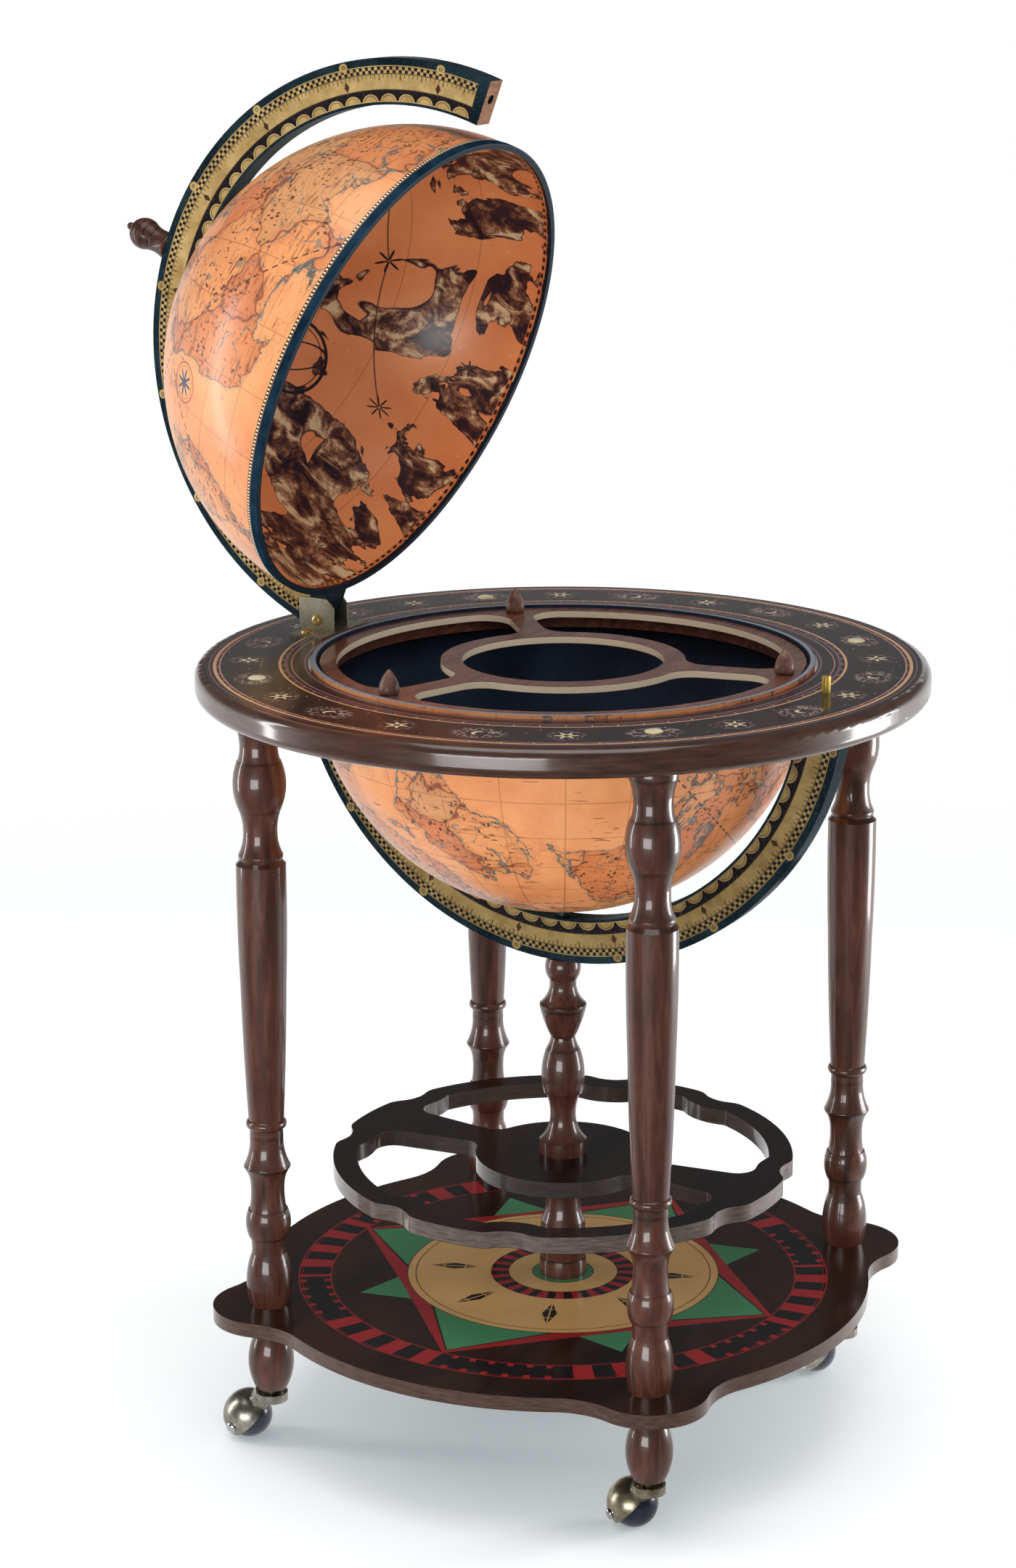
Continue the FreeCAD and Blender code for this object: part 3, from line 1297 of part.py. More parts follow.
NODES = [
    base_board(),
    table_ring(),
    bottle_shelf(),
    column_lower(),
    column_upper(),
    tie_rod(),
    rod_washer(),
    rod_nut(),
    lower_arc(),
    arc_dowels(),
    leg_studs(),
    leg_screws(),
    group("cover_caps", [cover_cap(corner) for corner in CORNERS]),
    bowl_piece("bowl_shell", "bowl_radius", "bowl_inner", "bowl_rim_angle"),
    bowl_piece("bowl_lining", "bowl_lining_outer", "bowl_lining_inner", "bowl_lining_rim_angle"),
    bowl_spacer("bowl_pole_spacer", *BOWL_SCREWS[0]),
    group("bowl_side_spacers", [bowl_spacer("bowl_side_spacer_" + side, side, tilt)
                                for side, tilt in BOWL_SCREWS[1:]]),
    group("bowl_screws", [bowl_screw(side, tilt) for side, tilt in BOWL_SCREWS]),
    tray_ledge(),
    serving_tray(),
    tray_knobs(),
    lid_piece("lid_shell", "lid_radius", "lid_inner"),
    lid_piece("lid_lining", "lid_lining_outer", "lid_lining_inner"),
    lid_rim_band(),
    upper_arc(),
    lid_pole_spacer(),
    lid_side_spacer(),
    lid_side_screw(),
    pole_bolt(),
    pole_washer(),
    finial(),
    hinge_bracket(),
    hinge_pin(),
    hinge_nut(),
    bracket_screws(),
    catch_tongue(),
    group("caster_sockets", [caster_socket(corner) for corner in CORNERS]),
]
for corner in CORNERS:
    NODES += [leg(corner), foot(corner), caster_hood(corner), caster_axle(corner),
              caster_wheel(corner)]

doc.recompute()
faults = [item.Name for item in doc.Objects if "Invalid" in item.State or "Error" in item.State]
faults += [node.Label for node in NODES if node.Shape.isNull() or not node.Shape.isValid()]
faults += [item.Name for item in CUTS
           if item.Shape.Volume > item.BaseFeature.Shape.Volume - item.Length.Value]
if faults:
    raise ValueError("objects that failed: " + ", ".join(faults))

os.makedirs("parts", exist_ok=True)
for node in NODES:
    node.Shape.exportStep("parts/" + node.Label + ".step")
print("%d sub-parts" % len(NODES))
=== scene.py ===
import math
import bpy
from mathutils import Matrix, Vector


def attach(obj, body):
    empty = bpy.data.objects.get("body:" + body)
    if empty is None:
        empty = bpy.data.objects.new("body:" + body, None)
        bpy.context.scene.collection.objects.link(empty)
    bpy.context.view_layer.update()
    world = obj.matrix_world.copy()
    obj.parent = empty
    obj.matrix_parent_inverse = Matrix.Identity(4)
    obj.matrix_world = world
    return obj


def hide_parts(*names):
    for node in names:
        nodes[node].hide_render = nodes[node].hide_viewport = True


# A globe bar in metres, with the lid open. The origin is on the floor under the globe's pole.

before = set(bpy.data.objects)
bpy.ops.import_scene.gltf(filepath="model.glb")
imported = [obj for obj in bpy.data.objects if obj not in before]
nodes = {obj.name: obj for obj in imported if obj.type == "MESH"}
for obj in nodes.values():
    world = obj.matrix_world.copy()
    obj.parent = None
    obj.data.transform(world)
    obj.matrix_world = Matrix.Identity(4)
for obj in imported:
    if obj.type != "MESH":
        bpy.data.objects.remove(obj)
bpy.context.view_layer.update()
CORNERS = ("front_left", "front_right", "back_right", "back_left")

# Measures of the solids that the looks repeat, in millimetres and degrees
HINGE_X, HINGE_Z = -229.5, 666.4
OPEN_ANGLE = 69.2
GLOBE_RADIUS = 200.0
BOWL_CENTRE_Z, BOWL_SKIN_R = 655.0, 202.9
LID_CENTRE_Z, LID_SKIN_R = 659.6, 199.6
UPPER_ARC_X, UPPER_ARC_Z, UPPER_ARC_R = 6.45, 667.0, 244.4
LOWER_ARC_Z, LOWER_ARC_R = 659.1, 255.3
ARC_SIDE = 9.4
TABLE_TOP, PLATE_TOP = 656.2, 658.2
BOARD_BASE, BOARD_TOP = 115.0, 127.0
SHELF_BASE, SHELF_TOP = 220.0, 234.0
TRAY_TOP, TRAY_MIDDLE, TRAY_EDGE_R, TRAY_TURN = 657.0, 654.0, 190.0, 12.3
SCREW_X = -231.0

# One degree in radians
DEGREE = math.pi / 180


def opened(x, z):
    """Where a point (x, 0, z) of the closed lid lies when the lid is open."""
    turn = OPEN_ANGLE * DEGREE
    reach, rise = x - HINGE_X, z - HINGE_Z
    return (HINGE_X + reach * math.cos(turn) - rise * math.sin(turn), 0.0,
            HINGE_Z + reach * math.sin(turn) + rise * math.cos(turn))


def tint(red, green, blue):
    """A colour as seen on a screen, 0 to 255, in the linear values that shaders take."""
    def linear(value):
        value /= 255.0
        return value / 12.92 if value <= 0.04045 else ((value + 0.055) / 1.055) ** 2.4
    return (linear(red), linear(green), linear(blue), 1.0)


class Value:
    """What a node gives: sums with it add Math nodes."""

    def __init__(self, paint, socket):
        self.paint, self.socket = paint, socket

    def math(self, operation, *others, clamp=False):
        values = dict(enumerate((self,) + others))
        return self.paint.node("Math", {"operation": operation, "use_clamp": clamp}, values)

    def after(self, operation, first):
        return self.paint.node("Math", {"operation": operation}, {0: first, 1: self})

    def __add__(self, other):
        return self.math("ADD", other)

    def __sub__(self, other):
        return self.math("SUBTRACT", other)

    def __mul__(self, other):
        return self.math("MULTIPLY", other)

    def __truediv__(self, other):
        return self.math("DIVIDE", other)

    def __pow__(self, other):
        return self.math("POWER", other)

    def __mod__(self, other):
        return self.math("FLOORED_MODULO", other)

    def __radd__(self, other):
        return self.after("ADD", other)

    def __rsub__(self, other):
        return self.after("SUBTRACT", other)

    def __neg__(self):
        return self * -1.0

    def __abs__(self):
        return self.math("ABSOLUTE")

    def __and__(self, other):
        return self.math("MULTIPLY", other, clamp=True)

    def __or__(self, other):
        return self.math("MAXIMUM", other)

    def clamped(self):
        return self.math("ADD", 0.0, clamp=True)


class Paint:
    """A material, or a world, in the making. Every node comes from node()."""

    def __init__(self, name, world=None):
        self.made = world or bpy.data.materials.new(name)
        self.made.use_nodes = True
        self.tree = self.made.node_tree
        self.tree.nodes.clear()

    def node(self, kind, settings=None, sockets=None, out=0):
        """One output of a new node, or all of them for out=None. Settings come before sockets."""
        node = self.tree.nodes.new(kind if "Node" in kind else "ShaderNode" + kind)
        for name, setting in (settings or {}).items():
            if name == "stops":
                ramp = node.color_ramp
                while len(ramp.elements) < len(setting):
                    ramp.elements.new(0.5)
                for element, (place, colour) in zip(ramp.elements, setting):
                    element.position, element.color = place, colour
            elif name == "interpolation":
                node.color_ramp.interpolation = setting
            else:
                setattr(node, name, setting)
        for name, value in (sockets or {}).items():
            if isinstance(value, Value):
                self.tree.links.new(value.socket, node.inputs[name])
            else:
                node.inputs[name].default_value = value
        if out is None:
            return [Value(self, socket) for socket in node.outputs]
        return Value(self, node.outputs[out]) if node.outputs else None

    def place(self, centre=(0, 0, 0), turn=0.0, unit=0.001, stretch=(1, 1, 1)):
        """Object coordinates about a centre in millimetres, turned back about Y, in units of metres."""
        where = self.node("TexCoord", out="Object")
        return self.node("Mapping", {"vector_type": "TEXTURE"}, {
            "Vector": where, "Location": [value / 1000 for value in centre],
            "Rotation": (0, turn * DEGREE, 0), "Scale": [unit * value for value in stretch]})

    def parts(self, vector):
        return self.node("SeparateXYZ", None, {0: vector}, None)

    def vector(self, x, y, z=0.0):
        return self.node("CombineXYZ", None, {0: x, 1: y, 2: z})

    def noise(self, vector, scale, detail=3.0, rough=0.5, warp=0.0):
        return self.node("TexNoise", None, {
            "Vector": vector, "Scale": scale, "Detail": detail, "Roughness": rough,
            "Distortion": warp})

    def cells(self, vector, scale, out="Distance", feature="F1"):
        return self.node("TexVoronoi", {"feature": feature}, {"Vector": vector, "Scale": scale}, out)

    def cracks(self, vector, scale):
        """The distance from the nearest border between cells."""
        return self.cells(vector, scale, feature="DISTANCE_TO_EDGE")

    def bend(self, vector, scale, reach):
        """A place pushed about by soft noise, so that the lines drawn on it wander."""
        push = self.node("TexNoise", None, {"Vector": vector, "Scale": scale, "Detail": 2.0}, "Color")
        middle = self.node("VectorMath", {"operation": "SUBTRACT"}, {0: push, 1: (0.5, 0.5, 0.5)})
        return self.node("VectorMath", {"operation": "MULTIPLY_ADD"},
                         {0: middle, 1: (reach, reach, reach), 2: vector})

    def mix(self, share, lower, upper):
        """A colour, and another over it by a share."""
        return self.node("Mix", {"data_type": "RGBA"}, {0: share, 6: lower, 7: upper}, 2)

    def ramp(self, value, stops, interpolation="LINEAR"):
        return self.node("ValToRGB", {"interpolation": interpolation, "stops": stops}, {0: value})

    def angle(self, y, x):
        """The angle of a point in degrees."""
        return y.math("ARCTAN2", x) * (1 / DEGREE)

    def finish(self, colour, roughness, bump=None, depth=0.3, **others):
        """The surface: a Principled shader. Its other sockets are named with underscores."""
        sockets = {"Base Color": colour, "Roughness": roughness}
        sockets.update({name.replace("_", " "): value for name, value in others.items()})
        if bump is not None:
            sockets["Normal"] = self.node("Bump", None, {
                "Strength": depth, "Distance": 0.001, "Height": bump})
        shader = self.node("BsdfPrincipled", None, sockets)
        self.node("OutputMaterial", None, {"Surface": shader})
        return self.made


def under(value, edge, soft=0.2):
    """1 where a value is under an edge, 0 over it."""
    return ((edge - value) * (1 / soft) + 0.5).clamped()


def over(value, edge, soft=0.2):
    """1 where a value is over an edge, 0 under it."""
    return ((value - edge) * (1 / soft) + 0.5).clamped()


def stripe(value, middle, width, soft=0.2):
    """1 within half a width of a middle."""
    return under(abs(value - middle), width / 2, soft)


def hypot(x, y):
    return (x * x + y * y).math("SQRT")


def any_of(shares):
    """The greatest of several shares."""
    shares = list(shares)
    total = shares[0]
    for share in shares[1:]:
        total = total | share
    return total


def circles(radius, *rings):
    """Drawn circles, each a radius and the width of its line."""
    return any_of(stripe(radius, middle, width) for middle, width in rings)


def beat(value, period):
    """The distance of a value from the nearest multiple of a period."""
    return abs((value + period / 2) % period - period / 2)


def layers(paint, colour, *coats):
    """A colour under coats, each a share and a colour, the last on top."""
    for share, coat in coats:
        colour = paint.mix(share, colour, coat)
    return colour


# Woods and lacquers

def wood_grain(paint, vector, dark, middle, light):
    """The colour of brown wood with a long figure, and its pores."""
    figure = paint.noise(vector, 0.09, 5.0, 0.62, 1.2)
    pores = paint.noise(vector, 1.1, 2.0, 0.7)
    colour = paint.ramp(figure, [(0.30, dark), (0.52, middle), (0.72, light)])
    return paint.mix(over(pores, 0.60, 0.16) * 0.40, colour, dark), pores


WALNUT_DARK, WALNUT, WALNUT_LIGHT = tint(44, 24, 18), tint(74, 41, 31), tint(98, 60, 46)

# Heights of the turned creases, where shade is painted dark: from the floor, and from the finial's foot
LEG_CREASES = (114.0, 186.0, 246.0, 273.5, 280.5, 505.5, 549.0, 589.3, 621.0)
COLUMN_CREASES = (141.0, 246.0, 287.0, 325.0, 336.0, 360.5, 364.5)
FINIAL_CREASES = (4.0, 16.0, 22.5, 28.5, 34.0)


def turned_walnut():
    """Legs, feet and columns: stained walnut, with painted shade darkening every turned crease."""
    paint = Paint("turned_walnut")
    place = paint.place(stretch=(1, 1, 9))
    colour, pores = wood_grain(paint, place, WALNUT_DARK, WALNUT, WALNUT_LIGHT)
    x, y, z = paint.parts(paint.place())
    column_reach = 100.0
    column = under(hypot(x, y), column_reach)
    crease_shade = (column & any_of(stripe(z, level, 2.0, 2.4) for level in COLUMN_CREASES)
               | (1 - column) & any_of(stripe(z, level, 2.0, 2.4) for level in LEG_CREASES))
    # Painted shade: each turned crease is darkened where shade would fall in it.
    colour = paint.mix(crease_shade * 0.7, colour, tint(22, 10, 8))
    clouds = paint.noise(paint.place(), 0.02, 3.0)
    rubbed = over(clouds, 0.55, 0.2) * 0.16
    colour = paint.mix(rubbed, colour, tint(120, 66, 48))
    return paint.finish(colour, 0.30 + pores * 0.16, pores, 0.04, Specular_IOR_Level=0.35,
                        Coat_Weight=0.75, Coat_Roughness=0.07)


def finial_walnut():
    """The finial on the lid's arc: darker walnut with bumped grooves across its axis, darkened by
    painted shade.
    """
    paint = Paint("finial_walnut")
    base = opened(0.0, UPPER_ARC_Z + UPPER_ARC_R)
    place = paint.place(centre=base, turn=-OPEN_ANGLE, stretch=(1, 1, 4))
    colour, pores = wood_grain(paint, place, WALNUT_DARK, tint(66, 34, 24), tint(92, 52, 38))
    z = paint.parts(paint.place(centre=base, turn=-OPEN_ANGLE))[2]
    grooves_bump_and_shade = any_of(stripe(z, level, 1.2, 1.4) for level in FINIAL_CREASES)
    # Painted shade: the grooves are darkened in colour as well as cut into the bump.
    colour = paint.mix(grooves_bump_and_shade * 0.8, colour, tint(16, 8, 6))
    return paint.finish(colour, 0.32 + pores * 0.16, pores - grooves_bump_and_shade * 4.0, 0.25,
                        Specular_IOR_Level=0.3, Coat_Weight=0.3, Coat_Roughness=0.1)


def tray_wood():
    """Tray and ledge: reddish walnut with a pale cut edge wherever the board is sawn."""
    paint = Paint("tray_walnut")
    colour, pores = wood_grain(paint, paint.place(stretch=(1, 8, 1)), tint(74, 38, 28),
                               tint(108, 62, 47), tint(134, 84, 66))
    x, y, z = paint.parts(paint.place())
    sawn = stripe(z, TRAY_MIDDLE, 5.3, 0.3) & under(hypot(x, y), TRAY_EDGE_R)
    fibres = paint.noise(paint.place(stretch=(1, 1, 0.2)), 0.8, 3.0)
    pale = paint.ramp(fibres, [(0.3, tint(228, 202, 168)), (0.7, tint(250, 234, 208))])
    colour = paint.mix(sawn, colour, pale)
    rough = 0.20 + pores * 0.18 + sawn * 0.3
    return paint.finish(colour, rough, pores, 0.04, Coat_Weight=0.6, Coat_Roughness=0.08)


def knob_wood():
    """The tray's knobs: the palest walnut."""
    paint = Paint("knob_walnut")
    colour, pores = wood_grain(paint, paint.place(stretch=(1, 1, 7)), tint(70, 42, 33),
                               tint(112, 76, 61), tint(146, 108, 90))
    return paint.finish(colour, 0.34 + pores * 0.2, pores, 0.05, Coat_Weight=0.4,
                        Coat_Roughness=0.16)


def raw_wood():
    """Dowels of pale wood without a finish."""
    paint = Paint("raw_wood")
    colour, pores = wood_grain(paint, paint.place(stretch=(1, 1, 8)), tint(168, 132, 96),
                               tint(196, 160, 122), tint(214, 184, 148))
    return paint.finish(colour, 0.6 + pores * 0.2, pores, 0.15)


def spacer_lacquer():
    """Dark teal paint on the spacers. At the bowl's pole the dark spacer also stands for painted shade
    in the gap between the bowl and the lower arc.
    """
    paint = Paint("spacer_lacquer")
    clouds = paint.noise(paint.place(), 0.05, 4.0)
    fine = paint.noise(paint.place(stretch=(1, 1, 5)), 0.7, 3.0)
    colour = paint.ramp(clouds * 0.6 + fine * 0.4, [(0.36, tint(10, 20, 25)), (0.62, tint(28, 44, 50))])
    return paint.finish(colour, 0.24 + fine * 0.14, fine, 0.05, Coat_Weight=0.3, Coat_Roughness=0.1)


def lacquer(paint, warm, black):
    """Near-black lacquer over a brown ground that shows through: its colour, clouds and specks."""
    clouds = paint.noise(paint.place(stretch=(1, 5, 1)), 0.02, 6.0, 0.6, 0.6)
    fine = paint.noise(paint.place(stretch=(1, 9, 1)), 0.5, 3.0)
    colour = paint.ramp(clouds * 0.8 + fine * 0.2, [(0.38, black), (0.64, warm)])
    specks = paint.noise(paint.place(), 0.9, 2.0)
    return colour, clouds, specks


def sawn_edge(paint, z, low, high, colours):
    """The sawn side of a board: a share and its colour, streaked along the board's run."""
    streaks = paint.noise(paint.place(stretch=(4, 4, 0.5)), 0.35, 4.0)
    colour = paint.ramp(streaks, [(0.3, colours[0]), (0.7, colours[1])])
    return stripe(z, (low + high) / 2, high - low - 0.5, 0.3), colour


def base_board():
    """Black-brown board with a printed compass rose between rings of red and black blocks."""
    paint = Paint("board_lacquer")
    ground, clouds, specks = lacquer(paint, tint(50, 25, 15), tint(17, 9, 8))
    x, y, z = paint.parts(paint.place())
    radius, angle = hypot(x, y), paint.angle(y, x)
    quarter, eighth = beat(angle, 90.0), beat(angle + 45.0, 90.0)
    disc_r, circle_r, petal_r, blocks_r, hub_r, collar_r = 131.0, 124.0, 92.0, 60.8, 46.0, 25.6
    band_in, band_out = 196.0, 221.5
    red, green, black = tint(146, 30, 34), tint(62, 128, 86), tint(18, 14, 17)
    tan = paint.mix(over(clouds, 0.5, 0.3) * 0.5, tint(204, 164, 104), tint(184, 142, 86))

    def point(offset, tip, base, half):
        """A point of the rose: half its width falls from the base to nothing at the tip."""
        across = radius * (offset * DEGREE).math("SINE")
        along = radius * (offset * DEGREE).math("COSINE")
        reach = (tip - along) / (tip - base)
        return over(reach * half - across, 0.0, 0.5)

    small = point(eighth, 175.0, 129.0, 29.5)
    small_line = point(eighth, 177.6, 129.0, 31.2)
    great_red = point(quarter, 196.0, 120.0, 74.0)
    great = point(quarter, 189.0, 120.0, 54.0)
    great_line = point(quarter, 190.8, 120.0, 56.5)
    disc = under(radius, disc_r)
    disc_lines = circles(radius, (circle_r, 0.9), (disc_r, 1.0))
    blocks = under(radius, blocks_r) & over(radius, hub_r)
    wedge = over(angle % 15.0, 7.5, 0.5)
    hub, hub_line = under(radius, hub_r - 0.5), stripe(radius, hub_r, 0.8)
    collar, collar_line = under(radius, collar_r), stripe(radius, collar_r, 0.8)
    band = under(radius, band_out) & over(radius, band_in)
    rows = over(angle % 9.0, 4.6, 0.15)
    keys = under(beat(angle + 15.0, 60.0), 12.0, 0.1)
    nibs = over(angle % 4.5, 3.1, 0.1) & (over(radius, band_out - 5.5) | under(radius, band_in + 5.0))
    figures = rows * (1 - keys) | nibs * keys
    lines = circles(radius, (band_out + 0.7, 1.1), (band_in - 0.7, 1.1), (band_out - 2.1, 0.5))
    aside, outward = beat(angle + 22.5, 45.0) * DEGREE * radius, abs(radius - petal_r)
    petals = under(outward * 0.28 + aside, 6.2, 0.5)
    veins = stripe(aside, 0.0, 1.2) | stripe(outward, 9.0, 1.0)
    top = over(z, BOARD_TOP - 0.2, 0.1)
    colour = layers(
        paint, ground,
        (small_line, black), (small, green), (great_red, red), (great_line, black), (great, green),
        (disc, tan), (disc_lines, tint(70, 50, 34)), (petals, black), (petals & veins, tan),
        (blocks, black), (blocks & wedge, red), (hub, tan), (hub_line, black),
        (collar, green), (collar_line, black), (band, black), (band & figures, red), (lines, red))
    side, side_colour = sawn_edge(paint, z, BOARD_BASE, BOARD_TOP,
                                  (tint(58, 38, 30), tint(88, 64, 54)))
    colour = layers(paint, paint.mix(top, ground, colour), (side, side_colour))
    wear = over(specks, 0.66, 0.1) * top * 0.18
    colour = paint.mix(wear, colour, tint(120, 92, 74))
    return paint.finish(colour, 0.16 + specks * 0.10 + side * 0.16, specks, 0.03,
                        Specular_IOR_Level=0.4, Coat_Weight=0.1 + side * 0.8, Coat_Roughness=0.08)


def shelf_board():
    """Black-brown shelf. Its sawn edges are pale grey, partly a painted sheen, and painted shade darkens
    them inside the openings.
    """
    paint = Paint("shelf_lacquer")
    ground, _, specks = lacquer(paint, tint(40, 21, 16), tint(12, 8, 11))
    x, y, z = paint.parts(paint.place())
    # Painted sheen: the sawn edges' pale grey stands partly for the reflections along them.
    side, side_colour = sawn_edge(paint, z, SHELF_BASE, SHELF_TOP,
                                  (tint(70, 58, 53), tint(106, 94, 88)))
    # Painted shade: the edges inside the openings are darker, as they lie in shade.
    openings_r = 174.0
    opening_shade = under(hypot(x, y), openings_r, 1.0)
    side_colour = paint.mix(opening_shade * 0.65, side_colour, tint(40, 36, 38))
    return paint.finish(paint.mix(side, ground, side_colour), 0.14 + specks * 0.10 + side * 0.16,
                        specks, 0.03, Specular_IOR_Level=0.4, Coat_Weight=0.1 + side * 0.8,
                        Coat_Roughness=0.08)


def table_print():
    """Black table top with gilt double lines, ticks, stars and small signs; brown walnut edge; the
    opening's inner wall near-black, painted shade of the gap round the bowl.
    """
    paint = Paint("table_lacquer")
    ground, _, specks = lacquer(paint, tint(46, 23, 20), tint(12, 9, 14))
    x, y, z = paint.parts(paint.place())
    radius, angle = hypot(x, y), paint.angle(y, x)
    gold, pink, purple, cream = (tint(202, 154, 112), tint(184, 128, 122), tint(112, 74, 92),
                                 tint(216, 196, 160))
    edge_r, outer_r, signs_r, inner_r, opening_r = 289.6, 280.6, 254.0, 228.4, 210.0
    step = 15.0
    around = (angle + step / 2) % step - step / 2
    sign = ((angle + step / 2) / step).math("FLOOR") % 2.0
    across, outward = around * DEGREE * signs_r, radius - signs_r
    reach, turn = hypot(across, outward), outward.math("ARCTAN2", across)
    rays = 3.0 + abs((turn * 3.0).math("COSINE")) ** 4.0 * 6.5
    star = under(reach - rays, 0.0, 0.5) - under(reach, 2.4, 0.3)
    star_ring = stripe(reach, 4.4, 0.7)
    moon = under(reach, 5.2, 0.4) - under(hypot(across - 2.4, outward - 1.2), 4.6, 0.4)
    comet = stripe(across * 0.4 + outward, 0.0, 1.0) & stripe(across, 11.0, 8.0)
    motif = (star | star_ring) * (1 - sign) | (moon | comet) * sign
    web = under(paint.cracks(paint.bend(paint.place(), 0.10, 9.0), 0.16), 0.07, 0.04)
    cluster = under(hypot(across / 21.0, outward / 15.0), 1.0, 0.25) & over(reach, 8.0, 1.0)
    engraved = web & (cluster * sign | under(reach, 15.0, 3.0) & over(reach, 11.0) * 0.6)
    scatter = under(paint.cells(paint.place(), 0.11), 0.085, 0.03) & stripe(outward, 0.0, 40.0)
    lines = circles(radius, (outer_r, 2.7), (inner_r, 2.0))
    soft_lines = circles(radius, (outer_r - 4.0, 1.2), (inner_r - 9.4, 0.8))
    violet = circles(radius, (inner_r - 5.0, 1.8), (opening_r - 1.8, 1.8), (outer_r + 4.4, 1.2))
    ticks = (under(beat(angle, 5.0), 0.12, 0.05)
             & circles(radius, (outer_r - 2.0, 3.6), (inner_r - 2.8, 3.4)))
    top = over(z, TABLE_TOP - 0.12, 0.08)
    print_colour = layers(paint, ground, (engraved * 0.9, tint(150, 126, 122)), (scatter * 0.6, cream),
                          (motif, cream), (violet, purple), (soft_lines, pink), (lines, gold),
                          (ticks, gold))
    rim_wood = paint.ramp(paint.noise(paint.place(stretch=(9, 9, 1)), 0.30, 4.0, 0.6),
                          [(0.30, tint(44, 24, 17)), (0.70, tint(78, 47, 34))])
    below = under(z, TABLE_TOP - 0.3, 0.1)
    outside = over(radius, edge_r, 0.6) | below
    # Painted shade: the inner wall of the opening, below the top, is near-black as the narrow gap to the
    # bowl lies in shade.
    inside = under(radius, opening_r) & below
    colour = layers(paint, paint.mix(top, ground, print_colour), (outside, rim_wood),
                    (inside, tint(22, 14, 14)))
    return paint.finish(colour, 0.16 + specks * 0.10 + outside * 0.18, specks, 0.025,
                        Specular_IOR_Level=0.35, Coat_Weight=0.15 + outside * 0.85,
                        Coat_Roughness=0.12)


# Globe

BOWL_PLACE = {"centre": (0, 0, BOWL_CENTRE_Z), "turn": 0.0}
LID_PLACE = {"centre": opened(0.0, LID_CENTRE_Z), "turn": -OPEN_ANGLE}

# Compass roses: height and longitude in degrees, radius in millimetres
BOWL_ROSES = ((-34.0, -38.0, 17.0), (-26.0, -148.0, 15.0), (-30.0, 70.0, 16.0))
LID_ROSES = ((30.0, -100.0, 16.0), (34.0, 96.0, 17.0), (52.0, 10.0, 14.0))

# The poles of the dashed courses
COURSE_POLES = ((0.5, 0.45, 0.6), (-0.6, 0.5, 0.5), (0.2, -0.7, 0.45))
COURSE_DASHES = 140
RIM_BEADS = 390


def rose(x, y, z, height, east, size):
    """A compass rose on the globe at a height and a longitude: its star, rings and disc."""
    up, turn = height * DEGREE, east * DEGREE
    ahead = (math.cos(up) * math.cos(turn), math.cos(up) * math.sin(turn), math.sin(up))
    side = (-math.sin(turn), math.cos(turn), 0.0)
    top = (-math.sin(up) * math.cos(turn), -math.sin(up) * math.sin(turn), math.cos(up))
    facing = x * ahead[0] + y * ahead[1] + z * ahead[2]
    right = x * side[0] + y * side[1]
    rise = x * top[0] + y * top[1] + z * top[2]
    far_side = 900.0
    reach = hypot(right, rise) + under(facing, 0.0, 1.0) * far_side
    angle = rise.math("ARCTAN2", right)
    arms = abs((angle * 4.0).math("COSINE")) ** 3.0 * (size * 0.5) + size * 0.22
    star = under(reach - arms, 0.0, 0.5)
    rings = stripe(reach, size, 1.3, 0.4) | stripe(reach, size * 0.82, 0.6, 0.3)
    disc = under(reach, size, 0.4)
    return star, rings, disc


def course(x, y, z, pole):
    """A dashed great circle square to a pole."""
    pole = Vector(pole).normalized()
    first = pole.orthogonal().normalized()
    second = pole.cross(first)
    off, ahead, aside = (x * way[0] + y * way[1] + z * way[2] for way in (pole, first, second))
    run = ahead.math("ARCTAN2", aside)
    dash = over((run * (COURSE_DASHES / (2 * math.pi))) % 1.0, 0.42, 0.1)
    return under(abs(off), 0.75, 0.4) & dash


